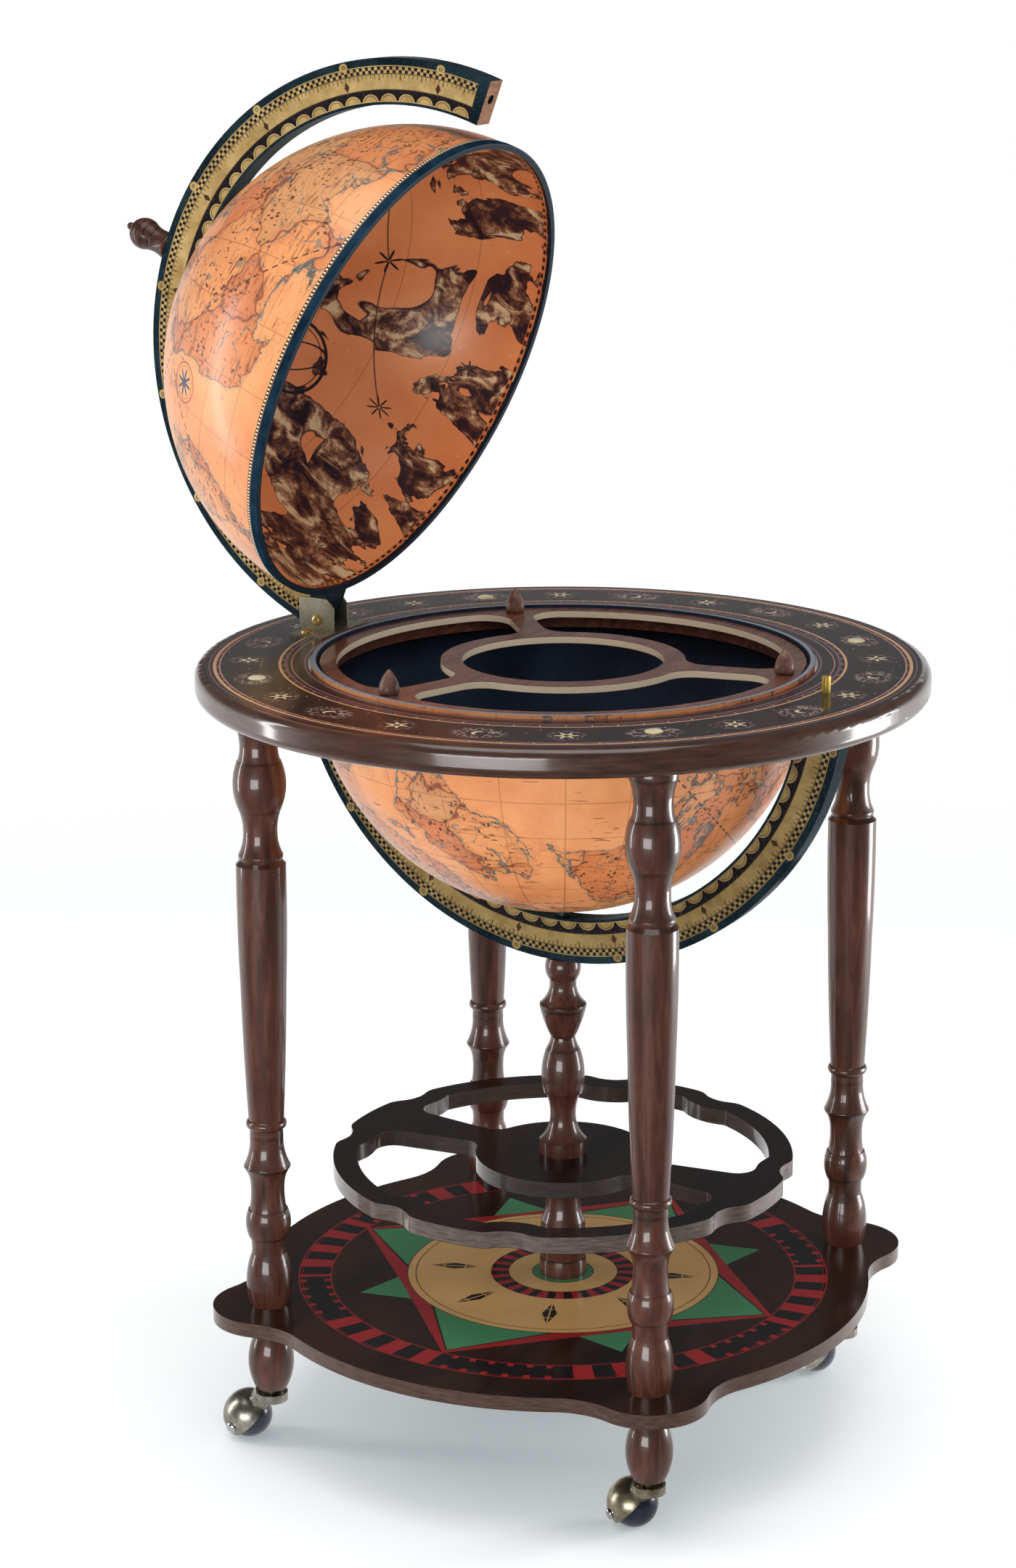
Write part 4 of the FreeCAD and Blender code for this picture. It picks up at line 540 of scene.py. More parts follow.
def globe_print(name, place, lid):
    """An old map of no real land: tan seas, pink and ochre lands, teal coasts, sepia engraving."""
    paint = Paint(name)
    where = paint.place(**place)
    x, y, z = paint.parts(where)
    level = z / GLOBE_RADIUS
    height = level.math("MINIMUM", 1.0).math("MAXIMUM", -1.0).math("ARCSINE") * (1 / DEGREE)
    east = paint.angle(y, x)
    shore = paint.noise(where, 0.0072, 9.0, 0.56, 0.5) - 0.500
    if not lid:
        # The bowl has more land in front and below
        shore = shore + ((x * 0.30 - y * 0.80 - z * 0.52) / GLOBE_RADIUS - 0.72) * 0.11
    on_land = over(shore, 0.0, 0.004)
    bent = paint.bend(where, 0.030, 44.0)
    realm = paint.node("SeparateColor", None, {0: paint.cells(bent, 0.0125, "Color")})
    border = paint.cracks(bent, 0.0125)
    aged = paint.noise(where, 0.012, 5.0, 0.6)
    patches = paint.noise(where, 0.030, 3.0)
    fine = paint.noise(where, 0.30, 4.0, 0.7)
    sea = paint.ramp(aged, [(0.30, tint(212, 130, 80)), (0.50, tint(228, 152, 98)),
                            (0.72, tint(240, 174, 120))])
    lands = paint.ramp(realm, [(0.0, tint(206, 120, 72)), (0.30, tint(216, 138, 86)),
                               (0.52, tint(226, 154, 98)), (0.74, tint(196, 104, 66)),
                               (0.90, tint(200, 152, 104))], "CONSTANT")
    lands = paint.mix(0.45, lands, paint.ramp(aged, [(0.35, tint(194, 108, 64)),
                                                     (0.65, tint(230, 158, 100))]))
    sepia, ink, teal = tint(112, 56, 36), tint(58, 28, 24), tint(60, 104, 106)
    frontier = under(border, 0.010, 0.008) & on_land
    washes = under(border, 0.055, 0.09) & on_land
    coast = stripe(shore, -0.001, 0.010, 0.004)
    coast_ink = stripe(shore, 0.0030, 0.0026, 0.002)
    shore_lines = stripe(shore, -0.014, 0.0016, 0.0016) | stripe(shore, -0.022, 0.0014, 0.0016)
    lakes = over(paint.noise(where, 0.042, 4.0), 0.69, 0.008) & on_land
    stream = paint.noise(where, 0.021, 4.0, 0.5, 1.0)
    rivers = stripe(stream, 0.5, 0.0085, 0.005) & on_land & over(aged, 0.42, 0.06)
    heights = paint.noise(where, 0.014, 3.0, 0.5, 1.5)
    ridge = stripe(heights, 0.50, 0.055, 0.03) & on_land
    upright = paint.place(**place, stretch=(1, 1, 2.2))
    lying = paint.place(**place, stretch=(3.4, 3.4, 1))
    ranges = ridge & under(paint.cells(upright, 0.25), 0.34, 0.10)
    trees = under(paint.cells(upright, 0.20), 0.20, 0.08) & on_land & over(patches, 0.54, 0.05)
    notes = under(paint.cells(lying, 0.34), 0.26, 0.10) & on_land & under(patches, 0.47, 0.06)
    towns = stripe(paint.cells(where, 0.075), 0.075, 0.05, 0.02) & on_land & over(fine, 0.42, 0.1)
    scratch = over(paint.noise(paint.place(**place, stretch=(7, 7, 1)), 0.34, 3.0, 0.6), 0.60, 0.05)
    marks = scratch & on_land & over(aged, 0.47, 0.06)
    waves = over(paint.noise(paint.place(**place, stretch=(9, 9, 1)), 0.45, 2.0), 0.64, 0.04)
    swell = waves & (1 - on_land) & over(patches, 0.52, 0.06)
    parallels = under(beat(height, 10.0), 0.12, 0.08)
    meridians = under(beat(east, 15.0) * (1 - level * level), 0.12, 0.08)
    courses = any_of(course(x, y, z, pole) for pole in COURSE_POLES)
    roses = [rose(x, y, z, *spot) for spot in (LID_ROSES if lid else BOWL_ROSES)]
    star, rings, disc = (any_of(shares) for shares in zip(*roses))
    colour = layers(
        paint, sea, (shore_lines * 0.5, sepia), (on_land, lands), (washes * 0.30, tint(164, 88, 54)),
        ((parallels | meridians) * 0.4, sepia), (swell * 0.55, sepia), (marks * 0.6, sepia),
        (notes * 0.7, ink), (frontier * 0.75, sepia), (rivers * 0.85, teal),
        (lakes * 0.65, tint(92, 116, 108)), (trees * 0.6, ink), (ranges * 0.85, ink),
        (towns * 0.8, ink), (coast * 0.75, teal), (coast_ink * 0.85, ink), (courses * 0.85, ink),
        (disc * 0.7, tint(232, 158, 98)), (rings, tint(166, 74, 50)), (star, tint(52, 62, 84)))
    stain = over(aged, 0.60, 0.12) * over(fine, 0.45, 0.3)
    colour = layers(paint, colour, (stain * 0.32, tint(140, 72, 44)),
                    (over(fine, 0.64, 0.1) * 0.14, tint(250, 200, 144)))
    skin = over(hypot(hypot(x, y), z), LID_SKIN_R if lid else BOWL_SKIN_R, 0.2)
    if lid:
        beads_z = 9.0
        beads = over((east * (RIM_BEADS / 360)) % 1.0, 0.5, 0.2)
        colour = layers(paint, colour, (stripe(z, beads_z, 2.6, 0.3), tint(34, 22, 22)),
                        (stripe(z, beads_z, 1.7, 0.3) & beads, tint(240, 214, 172)),
                        (under(z, beads_z - 1.6, 0.2), tint(15, 32, 46)))
        colour = paint.mix(skin, tint(17, 36, 52), colour)
    else:
        lip_z = 3.98
        lip = over(z, lip_z, 0.1)
        colour = layers(paint, paint.mix(skin, tint(16, 18, 30), colour), (lip, tint(120, 128, 140)))
    return paint.finish(colour, 0.64 - skin * 0.30 + fine * 0.10, fine, 0.02, Specular_IOR_Level=0.25,
                        Coat_Weight=skin * 0.5, Coat_Roughness=0.24)


# The sky in the lid, in millimetres from its pole: stars with their size and arms, rings with
# their size, and links between two stars
STARS = ((96, -64, 13, 4), (-40, -150, 11, 3), (-128, 30, 13, 4), (30, 168, 12, 3),
         (188, 96, 10, 4), (178, -168, 11, 4), (-196, -120, 11, 3), (-120, 178, 11, 4),
         (20, 44, 9, 3), (232, -40, 9, 3), (-60, 262, 9, 3), (60, -244, 9, 4), (-262, 40, 9, 4))
RINGS = ((132, 14, 40), (-76, 96, 34), (-60, -230, 26))
LINKS = ((0, 1), (1, 6), (8, 0), (3, 4), (2, 8), (7, 3))
RIM_DASHES = 150


def star_mark(u, v, centre_u, centre_v, size, arms):
    """A star with a small hole in its middle."""
    reach = hypot(u - centre_u, v - centre_v)
    angle = (v - centre_v).math("ARCTAN2", u - centre_u)
    arm = abs((angle * arms).math("COSINE")) ** 7.0 * (size * 0.9) + size * 0.2
    return under(reach - arm, 0.0, 0.8) - under(reach, size * 0.12, 0.6)


def ring_mark(u, v, centre_u, centre_v, size):
    """A ring with a fine one inside it and a slim upright one across."""
    reach = hypot(u - centre_u, v - centre_v)
    slim = hypot((u - centre_u) * 2.6, v - centre_v)
    return (stripe(reach, size, 3.0, 0.8) | stripe(slim, size, 3.4, 1.0)
            | stripe(reach, size * 0.86, 1.0, 0.6))


def link_mark(u, v, first, second):
    """A fine straight line between two stars."""
    start = Vector(STARS[first][:2])
    way = Vector(STARS[second][:2]) - start
    along = ((u - start.x) * way.x + (v - start.y) * way.y) / way.length
    off = ((u - start.x) * way.y - (v - start.y) * way.x) / way.length
    return under(abs(off), 0.7, 0.5) & stripe(along, way.length / 2, way.length)


def star_chart():
    """Inside of the lid: an engraved sky of clouds, stars and rings on deep orange."""
    paint = Paint("lid_print")
    where = paint.place(**LID_PLACE)
    x, y, z = paint.parts(where)
    down = hypot(x, y).math("ARCTAN2", z) * GLOBE_RADIUS
    east = y.math("ARCTAN2", x)
    u, v = down * east.math("COSINE"), down * east.math("SINE")
    chart = paint.vector(u, v)
    aged = paint.noise(where, 0.010, 4.0)
    ground = paint.ramp(aged, [(0.3, tint(208, 118, 68)), (0.7, tint(238, 158, 102))])
    plum, brown, cream = tint(36, 20, 34), tint(96, 54, 40), tint(216, 190, 148)
    cloud = paint.noise(chart, 0.0098, 4.0, 0.52, 1.0) + down * 0.00022
    bank = over(cloud, 0.555, 0.005)
    bank_line = stripe(cloud, 0.558, 0.012, 0.006)
    modelling = paint.noise(paint.bend(chart, 0.02, 30.0), 0.030, 5.0, 0.60, 1.2)
    strokes = paint.noise(paint.bend(chart, 0.015, 60.0), 0.16, 2.0)
    shade = paint.ramp(modelling * 0.8 + strokes * 0.2, [
        (0.42, plum), (0.48, brown), (0.535, tint(156, 110, 80)), (0.60, cream)])
    hatch = ((u * 0.55 + v * 0.83 + modelling * 60.0) * 1.5).math("SINE")
    hatching = over(hatch, 0.25, 0.5) & under(modelling, 0.56, 0.08)
    shade = paint.mix(hatching * 0.5, shade, plum)
    marks = any_of([star_mark(u, v, *star) for star in STARS]
                   + [ring_mark(u, v, *ring) for ring in RINGS])
    links = any_of(link_mark(u, v, *link) for link in LINKS)
    net = under(beat(down, 62.0), 0.5, 0.4) * 0.35
    dust = under(paint.cells(chart, 0.05), 0.055, 0.03)
    colour = layers(
        paint, ground, (net, brown), (dust * 0.7, cream), (bank, shade), (bank_line * 0.9, plum),
        (links * 0.8, plum), (marks, plum))
    dashes_z, rim_z = 6.0, 3.4
    dashes = over((east * (RIM_DASHES / (2 * math.pi))) % 1.0, 0.45, 0.1)
    colour = layers(
        paint, colour, (stripe(z, dashes_z, 3.2, 0.4), tint(208, 118, 60)),
        (stripe(z, dashes_z, 2.4, 0.4) & dashes, plum), (under(z, rim_z, 0.3), tint(12, 24, 36)))
    fine = paint.noise(where, 0.5, 3.0)
    return paint.finish(colour, 0.30 + fine * 0.12, fine, 0.02, Specular_IOR_Level=0.2,
                        Coat_Weight=over(z, rim_z, 0.3) * 0.45, Coat_Roughness=0.22)


def bowl_flock():
    """Dark blue flock inside the bowl."""
    paint = Paint("bowl_flock")
    fibres = paint.noise(paint.place(), 1.6, 3.0, 0.8)
    clouds = paint.noise(paint.place(), 0.02, 3.0)
    colour = paint.ramp(fibres * 0.5 + clouds * 0.5, [(0.35, tint(8, 14, 30)), (0.62, tint(24, 42, 66))])
    return paint.finish(colour, 0.9, fibres, 0.4)


def rim_band():
    """Dark teal band round the lid's rim."""
    paint = Paint("rim_band")
    clouds = paint.noise(paint.place(), 0.05, 4.0)
    colour = paint.ramp(clouds, [(0.35, tint(14, 32, 46)), (0.65, tint(30, 54, 72))])
    return paint.finish(colour, 0.46 + clouds * 0.1, clouds, 0.02, Specular_IOR_Level=0.0)


# Half rings

def arc_print(name, centre, outer, turn, first, last, ends, gilt):
    """Teal half ring with a printed scale on both faces: checks, a gilt band and scallops.

    The scale runs from the first angle to the last. A free end is cut at the height of ends.
    """
    paint = Paint(name)
    x, y, z = paint.parts(paint.place(centre=centre, turn=turn))
    angle, inward = paint.angle(z, x), outer - hypot(x, z)
    checks_in, band_in, deep_in, lobes_in = 9.7, 19.0, 29.6, 34.4
    teal_clouds = paint.noise(paint.place(), 0.03, 4.0)
    fine = paint.noise(paint.place(), 0.6, 3.0)
    teal = paint.ramp(teal_clouds, [(0.35, tint(12, 26, 32)), (0.68, tint(30, 48, 56))])
    gold = paint.ramp(paint.noise(paint.place(), 0.06, 5.0, 0.6),
                      [(0.32, gilt[0]), (0.66, gilt[1])])
    dark = tint(30, 26, 30)
    middle_r = 220.0
    degree_run = middle_r * DEGREE
    rim_line = stripe(inward, checks_in - 3.3, 0.7)
    checks = stripe(inward, checks_in, 5.2)
    column = over((angle * (degree_run / 5.4)) % 1.0, 0.5, 0.06)
    row = over(inward, checks_in, 0.3)
    check = column + row - column * row * 2.0
    band = stripe(inward, band_in, 13.0)
    band_lines = circles(inward, (band_in - 6.1, 0.5), (band_in + 6.0, 0.5))
    deep = stripe(inward, deep_in, 8.6)
    from_lobe = hypot(beat(angle, 4.6) * degree_run * 0.96, (inward - lobes_in) * 1.2)
    scallop = under(from_lobe, 7.4, 0.4) & under(inward, lobes_in - 0.2)
    rib = stripe(from_lobe, 5.6, 0.5)
    inner_line = stripe(inward, lobes_in, 0.8)
    tick = under(beat(angle, 1.0) * degree_run, 0.32, 0.2) & stripe(inward, band_in - 4.4, 2.4)
    long_tick = under(beat(angle, 5.0) * degree_run, 0.42, 0.2) & stripe(inward, band_in - 3.4, 4.4)
    spot = beat(angle - 11.0, 22.0) * degree_run
    lozenge = under(abs(inward - (band_in + 1.4)) + spot * 1.8, 4.4, 0.5)
    hub = hypot(spot, inward - 4.6)
    marker = under(hub, 3.6, 0.3) & over(hub, 1.5, 0.3) | under(hub, 0.9, 0.3)
    face = over(abs(y), ARC_SIDE - 0.12, 0.06)
    framed = over(angle, first, 0.1) & under(angle, last, 0.1)
    coats = ((band, gold), (checks, gold), (checks & check, dark), (rim_line, gold),
             (band_lines, dark), (deep, dark), (scallop, gold), (scallop & rib, dark),
             (inner_line, gold), ((tick | long_tick | lozenge) & band, tint(66, 46, 34)),
             (marker, gold))
    colour = layers(paint, teal, *((share & framed, coat) for share, coat in coats))
    colour = paint.mix(face, teal, colour)
    rubbed = over(fine, 0.63, 0.1) * 0.25
    colour = paint.mix(rubbed, colour, tint(96, 92, 80))
    if ends is not None:
        grain = paint.noise(paint.place(stretch=(1, 6, 1)), 0.5, 4.0)
        pale = paint.ramp(grain, [(0.3, tint(118, 82, 62)), (0.7, tint(164, 124, 98))])
        sawn = stripe(z, ends, 0.3, 0.1) & over(x, 0.0) & under(abs(y), ARC_SIDE - 0.05, 0.04)
        colour = paint.mix(sawn, colour, pale)
    return paint.finish(colour, 0.30 + fine * 0.14, fine, 0.03, Specular_IOR_Level=0.0,
                        Coat_Weight=0.2, Coat_Roughness=0.12)


# Metals and small parts

def metal(name, dark, light, rough, mottled):
    """Metal between two colours in soft spots. The more mottled it is, the finer they are."""
    paint = Paint(name)
    clouds = paint.noise(paint.place(), mottled, 5.0, 0.6)
    fine = paint.noise(paint.place(), 0.7, 3.0)
    colour = paint.ramp(clouds * 0.7 + fine * 0.3, [(0.36, dark), (0.62, light)])
    return paint.finish(colour, rough + fine * 0.12, fine, 0.04, Metallic=1.0)


def plastic(name, dark, light, rough):
    paint = Paint(name)
    clouds = paint.noise(paint.place(), 0.06, 4.0)
    fine = paint.noise(paint.place(), 0.9, 2.0)
    colour = paint.ramp(clouds, [(0.35, dark), (0.65, light)])
    return paint.finish(colour, rough + fine * 0.1, fine, 0.03, Coat_Weight=0.4, Coat_Roughness=0.08)


brass = metal("bright_brass", tint(196, 164, 92), tint(244, 218, 146), 0.26, 0.08)
hood_metal = metal("caster_metal", tint(128, 124, 114), tint(196, 192, 180), 0.24, 0.09)
brass_hood = metal("caster_brass", tint(136, 128, 106), tint(204, 196, 168), 0.24, 0.09)
chrome = metal("caster_chrome", tint(200, 202, 206), tint(232, 234, 238), 0.07, 0.1)
ball_black = plastic("caster_ball", tint(14, 20, 34), tint(32, 44, 62), 0.20)
walnut = turned_walnut()
PAINTS = {
    "base_board": base_board(),
    "table_ring": table_print(),
    "bottle_shelf": shelf_board(),
    "tray_knobs": knob_wood(),
    "bowl_shell": globe_print("bowl_print", BOWL_PLACE, False),
    "lid_shell": globe_print("lid_outer_print", LID_PLACE, True),
    "lid_lining": star_chart(),
    "bowl_lining": bowl_flock(),
    "lid_rim_band": rim_band(),
    # Painted shade: the lower arc's gilt is darker than the upper arc's, for the shade under the table.
    "lower_arc": arc_print("lower_arc_print", (0, 0, LOWER_ARC_Z), LOWER_ARC_R, 0.0, -179.0,
                           -1.0, None, (tint(122, 102, 62), tint(154, 134, 88))),
    "upper_arc": arc_print("upper_arc_print", opened(UPPER_ARC_X, UPPER_ARC_Z), UPPER_ARC_R,
                           -OPEN_ANGLE, 2.4, 176.5, 0.2, (tint(146, 120, 72), tint(182, 158, 106))),
    "cover_caps": plastic("cap_plastic", tint(206, 192, 150), tint(232, 222, 186), 0.25),
    "hinge_bracket": metal("aged_brass", tint(158, 152, 128), tint(214, 208, 184), 0.34, 0.04),
    "catch_tongue": metal("catch_brass", tint(222, 190, 84), tint(250, 226, 128), 0.42, 0.08),
    "arc_dowels": raw_wood(),
    "finial": finial_walnut(),
}
SHARED = (
    (walnut, ("column_lower", "column_upper")),
    (tray_wood(), ("serving_tray", "tray_ledge")),
    (brass, ("hinge_pin", "hinge_nut", "bracket_screws")),
    (spacer_lacquer(), ("bowl_pole_spacer", "bowl_side_spacers", "lid_pole_spacer", "lid_side_spacer")),
    (metal("steel", tint(120, 120, 122), tint(176, 176, 178), 0.32, 0.08),
     ("tie_rod", "tie_rod_washer", "tie_rod_nut", "leg_studs", "leg_screws", "bowl_screws",
      "lid_side_screw", "pole_bolt", "pole_washer", "caster_sockets")),
)
for material, names in SHARED:
    for name in names:
        PAINTS[name] = material
for corner in CORNERS:
    PAINTS["leg_" + corner] = PAINTS["foot_" + corner] = walnut
    PAINTS["caster_hood_" + corner] = brass_hood if corner == "front_right" else hood_metal
    PAINTS["caster_axle_" + corner] = chrome
    PAINTS["caster_wheel_" + corner] = ball_black
for name, node in nodes.items():
    node.data.materials.clear()
    node.data.materials.append(PAINTS[name])


# Small repeated pieces

class Growth(Paint):
    """A Geometry Nodes tree in the making, with named inputs for its sizes in metres."""

    def __init__(self, name, sizes):
        self.tree = bpy.data.node_groups.new(name, "GeometryNodeTree")
        self.sizes = sizes
        for label, size in sizes.items():
            socket = self.tree.interface.new_socket(label, in_out="INPUT", socket_type="NodeSocketFloat")
            socket.default_value = size
        self.tree.interface.new_socket("Geometry", in_out="OUTPUT", socket_type="NodeSocketGeometry")
        self.given = dict(zip(sizes, self.node("NodeGroupInput", out=None)))

    def size(self, label):
        return self.given[label]

    def turned(self, profile, along=25):
        """A grid rolled up about Z: the profile gives radius and height for a share from 0 to 1."""
        around = 40
        grid = self.node("GeometryNodeMeshGrid", None, {
            "Size X": 1.0, "Size Y": 1.0, "Vertices X": around + 1, "Vertices Y": along})
        x, y, _ = self.parts(self.node("GeometryNodeInputPosition"))
        turn = (x + 0.5) * (2 * math.pi)
        radius, height = profile(y + 0.5)
        place = self.vector(radius * turn.math("COSINE"), radius * turn.math("SINE"), height)
        form = self.node("GeometryNodeSetPosition", None, {"Geometry": grid, "Position": place})
        return self.node("GeometryNodeMergeByDistance", None, {"Geometry": form, "Distance": 1e-6})

    def piece(self, name, points, form, material, body, slot, replaced, turns=(0, 0, 0)):
        """The form at each point, as one plain mesh that rides a body and stands for a node."""
        spread = self.node("GeometryNodeInstanceOnPoints", None, {
            "Points": points, "Instance": form, "Rotation": turns})
        solid = self.node("GeometryNodeRealizeInstances", None, {"Geometry": spread})
        solid = self.node("GeometryNodeSetMaterial", None, {"Geometry": solid, "Material": material})
        self.node("NodeGroupOutput", None, {0: solid})
        seed = bpy.data.objects.new(name, bpy.data.meshes.new(name + "_seed"))
        bpy.context.scene.collection.objects.link(seed)
        grown = seed.modifiers.new("grown", "NODES")
        grown.node_group = self.tree
        for item in self.tree.interface.items_tree:
            if item.in_out == "INPUT":
                grown[item.identifier] = self.sizes[item.name]
        ready = seed.evaluated_get(bpy.context.evaluated_depsgraph_get())
        mesh = bpy.data.meshes.new_from_object(ready)
        seed.modifiers.clear()
        seed.data = mesh
        mesh.name = name
        mesh.shade_smooth()
        mesh.set_sharp_from_angle(angle=38 * DEGREE)
        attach(seed, body)
        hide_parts(replaced)


def dome(radius, height, roundness):
    """The profile of a flat-based dome: out along the base for an eighth, then up and in."""
    def profile(share):
        base = (share * 8.0).clamped()
        rise = ((share * 8.0 - 1.0) / 7.0).clamped() * (math.pi / 2)
        return (radius * base * rise.math("COSINE").math("MAXIMUM", 0.0) ** roundness,
                height * rise.math("SINE") ** roundness)
    return profile


def through(points):
    """The profile through points of radius and height, one step of the grid for each."""
    def profile(share):
        radius, height = points[0]
        for index, (last, point) in enumerate(zip(points, points[1:])):
            step = (share * (len(points) - 1.0) - index).clamped()
            radius = radius + step * (point[0] - last[0])
            height = height + step * (point[1] - last[1])
        return radius, height
    return profile


def cover_cap_domes():
    """Four round caps over the leg screws, in the table's top."""
    growth = Growth("cover_cap_growth", {"Reach": 0.2512, "Radius": 0.007, "Height": 0.0015})
    ring = growth.node("GeometryNodeMeshCircle", None, {"Vertices": 4, "Radius": growth.size("Reach")})
    corners = growth.node("GeometryNodeTransform", None, {
        "Geometry": ring, "Translation": (0.0, 0.0, TABLE_TOP / 1000),
        "Rotation": (0.0, 0.0, 45 * DEGREE)})
    cap = growth.turned(dome(growth.size("Radius"), growth.size("Height"), 0.62))
    growth.piece("cover_cap_domes", corners, cap, PAINTS["cover_caps"], "stand", "cap_plastic",
                 "cover_caps")


def slotted_bracket_screws():
    """Two slotted round-head screws through the hinge plate into the table."""
    growth = Growth("bracket_screw_growth", {
        "Half Spread": 0.025, "Head Radius": 0.0046, "Head Height": 0.003,
        "Shank Radius": 0.0015, "Shank Length": 0.014, "Slot Width": 0.0009, "Slot Depth": 0.0011})
    half = growth.size("Half Spread")
    ends = growth.node("GeometryNodeMeshLine", {"mode": "END_POINTS"}, {
        "Count": 2, "Start Location": growth.vector(SCREW_X / 1000, -half, PLATE_TOP / 1000),
        "Offset": growth.vector(SCREW_X / 1000, half, PLATE_TOP / 1000)})
    height = growth.size("Head Height")
    head = growth.turned(dome(growth.size("Head Radius"), height, 0.8))
    slot = growth.node("GeometryNodeMeshCube", None, {
        "Size": growth.vector(growth.size("Head Radius") * 3.0, growth.size("Slot Width"),
                              growth.size("Slot Depth") * 2.0)})
    slot = growth.node("GeometryNodeTransform", None, {
        "Geometry": slot, "Translation": growth.vector(0.0, 0.0, height)})
    head = growth.node("GeometryNodeMeshBoolean", {"operation": "DIFFERENCE"},
                       {"Mesh 1": head, "Mesh 2": slot})
    length, overlap = growth.size("Shank Length"), 0.0002
    shank = growth.node("GeometryNodeMeshCylinder", None, {
        "Vertices": 20, "Radius": growth.size("Shank Radius"), "Depth": length})
    shank = growth.node("GeometryNodeTransform", None, {
        "Geometry": shank, "Translation": growth.vector(0.0, 0.0, length * -0.5 + overlap)})
    whole = growth.node("GeometryNodeJoinGeometry", None, {"Geometry": head})
    growth.tree.links.new(shank.socket, growth.tree.nodes[-1].inputs["Geometry"])
    turns = growth.vector(0.0, 0.0, growth.node("GeometryNodeInputIndex") * 1.2 + 0.5)
    growth.piece("slotted_bracket_screws", ends, whole, brass, "stand", "bright_brass",
                 "bracket_screws", turns)


# The knob's outline in shares of its radius and height
BULLET = ((0.80, 0.0), (0.89, 0.025), (0.96, 0.07), (1.0, 0.16), (0.975, 0.28), (0.91, 0.40),
          (0.82, 0.50), (0.70, 0.61), (0.56, 0.72), (0.41, 0.82), (0.28, 0.90), (0.16, 0.96),
          (0.07, 0.99), (0.0, 1.0))


def bullet_knobs():
    """Three pointed knobs on the tray's spokes, each with its spigot in the wood."""
    growth = Growth("knob_growth", {"Reach": 0.184, "Radius": 0.0083, "Height": 0.020,
                                    "Spigot Radius": 0.0025, "Spigot Depth": 0.005})
    ring = growth.node("GeometryNodeMeshCircle", None, {"Vertices": 3, "Radius": growth.size("Reach")})
    spokes = growth.node("GeometryNodeTransform", None, {
        "Geometry": ring, "Translation": (0.0, 0.0, TRAY_TOP / 1000),
        "Rotation": (0.0, 0.0, TRAY_TURN * DEGREE)})
    wide, tall = growth.size("Radius"), growth.size("Height")
    spigot, deep = growth.size("Spigot Radius"), -growth.size("Spigot Depth")
    points = [(0.0, deep), (spigot, deep), (spigot, 0.0)]
    points += [(wide * across, tall * up) for across, up in BULLET]
    knob = growth.turned(through(points), along=len(points))
    growth.piece("bullet_knobs", spokes, knob, PAINTS["tray_knobs"], "stand", "knob_walnut",
                 "tray_knobs")


cover_cap_domes()
slotted_bracket_screws()
bullet_knobs()


# Studio

AZIMUTH, DISTANCE, HEIGHT, PITCH = 29.413, 2.88847, 1.31636, 14.128
LENS, SHIFT = 84.09, (-0.0351, -0.0284)

# Lamps: name, place, aim, width and height, watts
LAMPS = (
    ("left_strip", (-1.75, -0.8, 0.8), (0, 0, 0.7), (0.16, 1.6), 11),
    ("right_strip", (1.12, 0.92, 0.37), (0, 0, 0.45), (0.50, 0.7), 13),
    ("front_box", (0.4, -2.6, 0.37), (0, 0, 0.45), (1.5, 0.72), 29),
    ("top_box", (0.2, -0.6, 3.1), (0, 0, 0.6), (2.4, 1.8), 34),
)


def area_light(name, place, aim, size, power):
    data = bpy.data.lights.new(name, "AREA")
    data.shape = "RECTANGLE"
    data.size, data.size_y = size
    data.energy = power
    light = bpy.data.objects.new(name, data)
    light.location = place
    light.rotation_euler = (Vector(aim) - Vector(place)).to_track_quat("-Z", "Y").to_euler()
    bpy.context.scene.collection.objects.link(light)


def behind(x, y):
    """How far a place or direction lies behind the object, as the camera sees it."""
    return y * math.cos(AZIMUTH * DEGREE) - x * math.sin(AZIMUTH * DEGREE)


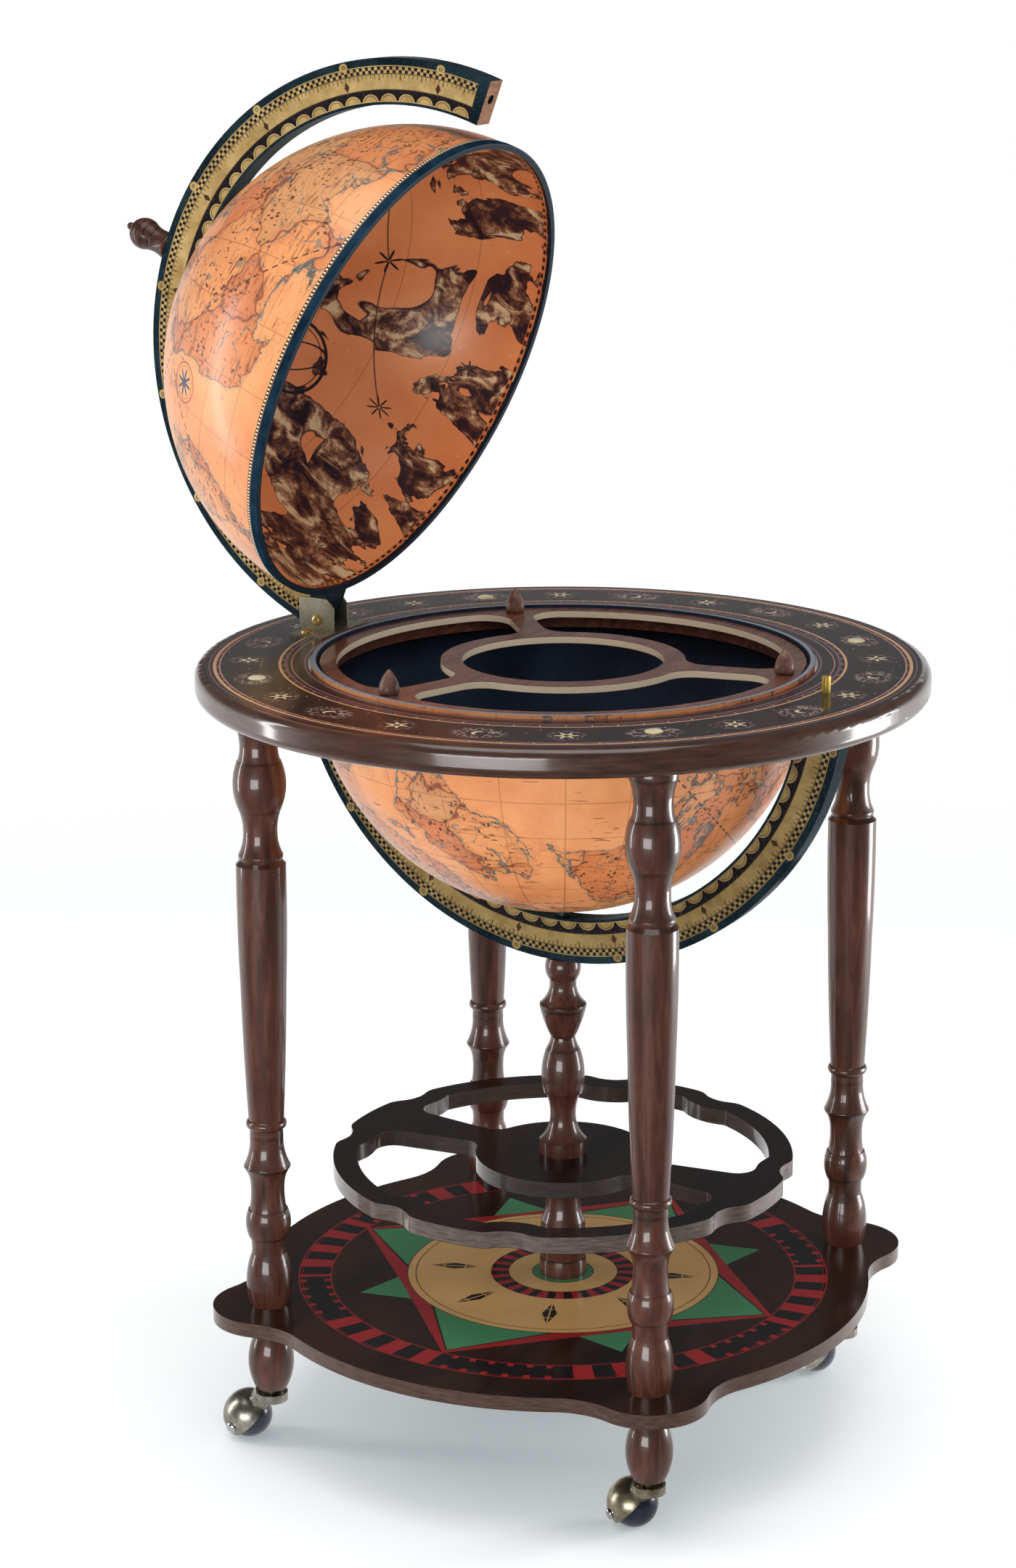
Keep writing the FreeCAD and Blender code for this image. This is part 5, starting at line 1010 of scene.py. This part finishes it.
def studio_floor():
    """A pale floor that keeps the object's shadow and fades to white away from it."""
    mesh = bpy.data.meshes.new("floor")
    reach, count = 2.6, 96
    turns = [2 * math.pi * index / count for index in range(count)]
    rim = [(reach * math.cos(turn), reach * math.sin(turn), 0.0) for turn in turns]
    mesh.from_pydata(rim, [], [tuple(range(count))])
    floor = bpy.data.objects.new("floor", mesh)
    bpy.context.scene.collection.objects.link(floor)
    paint = Paint("floor_white")

    def glow(strength, colour=(1, 1, 1, 1)):
        return paint.node("Emission", None, {"Color": colour, "Strength": strength})

    x, y, _ = paint.parts(paint.place(unit=1.0))
    seen = paint.node("LightPath", out="Is Camera Ray")
    mirrored = paint.node("LightPath", out="Is Glossy Ray")
    matt = paint.node("BsdfDiffuse", None, {"Color": tint(246, 245, 244)})
    lifted = paint.node("AddShader", None, {0: matt, 1: glow(1.0, (0.16, 0.20, 0.22, 1))})
    fade_r = 1.4
    far = over(hypot(x, y), fade_r, fade_r)
    shown = paint.node("MixShader", None, {0: far, 1: lifted, 2: glow(1.0)})
    gloss = glow(0.07 + over(behind(x, y), -0.15, 0.7) * 0.85)
    other = paint.node("MixShader", None, {0: mirrored, 1: matt, 2: gloss})
    shader = paint.node("MixShader", None, {0: seen, 1: other, 2: shown})
    paint.node("OutputMaterial", None, {"Surface": shader})
    mesh.materials.append(paint.made)


def studio_world():
    """White to the eye, and in reflections behind and beside the object; dimmer in front of it."""
    sky = Paint("studio", bpy.data.worlds.new("studio"))
    x, y, z = sky.parts(sky.node("TexCoord", out="Generated"))
    backdrop = over(behind(x, y), -0.1, 0.5) & under(z, 0.12, 0.2)
    seen = sky.node("LightPath", out="Is Camera Ray")
    mirrored = sky.node("LightPath", out="Is Glossy Ray")
    passed = sky.node("LightPath", out="Is Transmission Ray")
    level = 0.62 + (seen | passed) * 0.38
    level = level * (1 - mirrored) + mirrored * (0.09 + backdrop * 0.8)
    light = sky.node("Background", None, {"Color": (1, 1, 1, 1), "Strength": level})
    sky.node("OutputWorld", None, {"Surface": light})
    bpy.context.scene.world = sky.made


studio_floor()
studio_world()
for lamp in LAMPS:
    area_light(*lamp)

# Camera
camera_data = bpy.data.cameras.new("camera")
camera_data.sensor_width = 36.0
camera_data.lens = LENS
camera_data.shift_x, camera_data.shift_y = SHIFT
camera = bpy.data.objects.new("camera", camera_data)
camera.location = (math.sin(AZIMUTH * DEGREE) * DISTANCE, -math.cos(AZIMUTH * DEGREE) * DISTANCE,
                   HEIGHT)
camera.rotation_euler = ((90.0 - PITCH) * DEGREE, 0.0, AZIMUTH * DEGREE)
bpy.context.scene.collection.objects.link(camera)
bpy.context.scene.camera = camera
bpy.context.scene.view_settings.view_transform = "Standard"
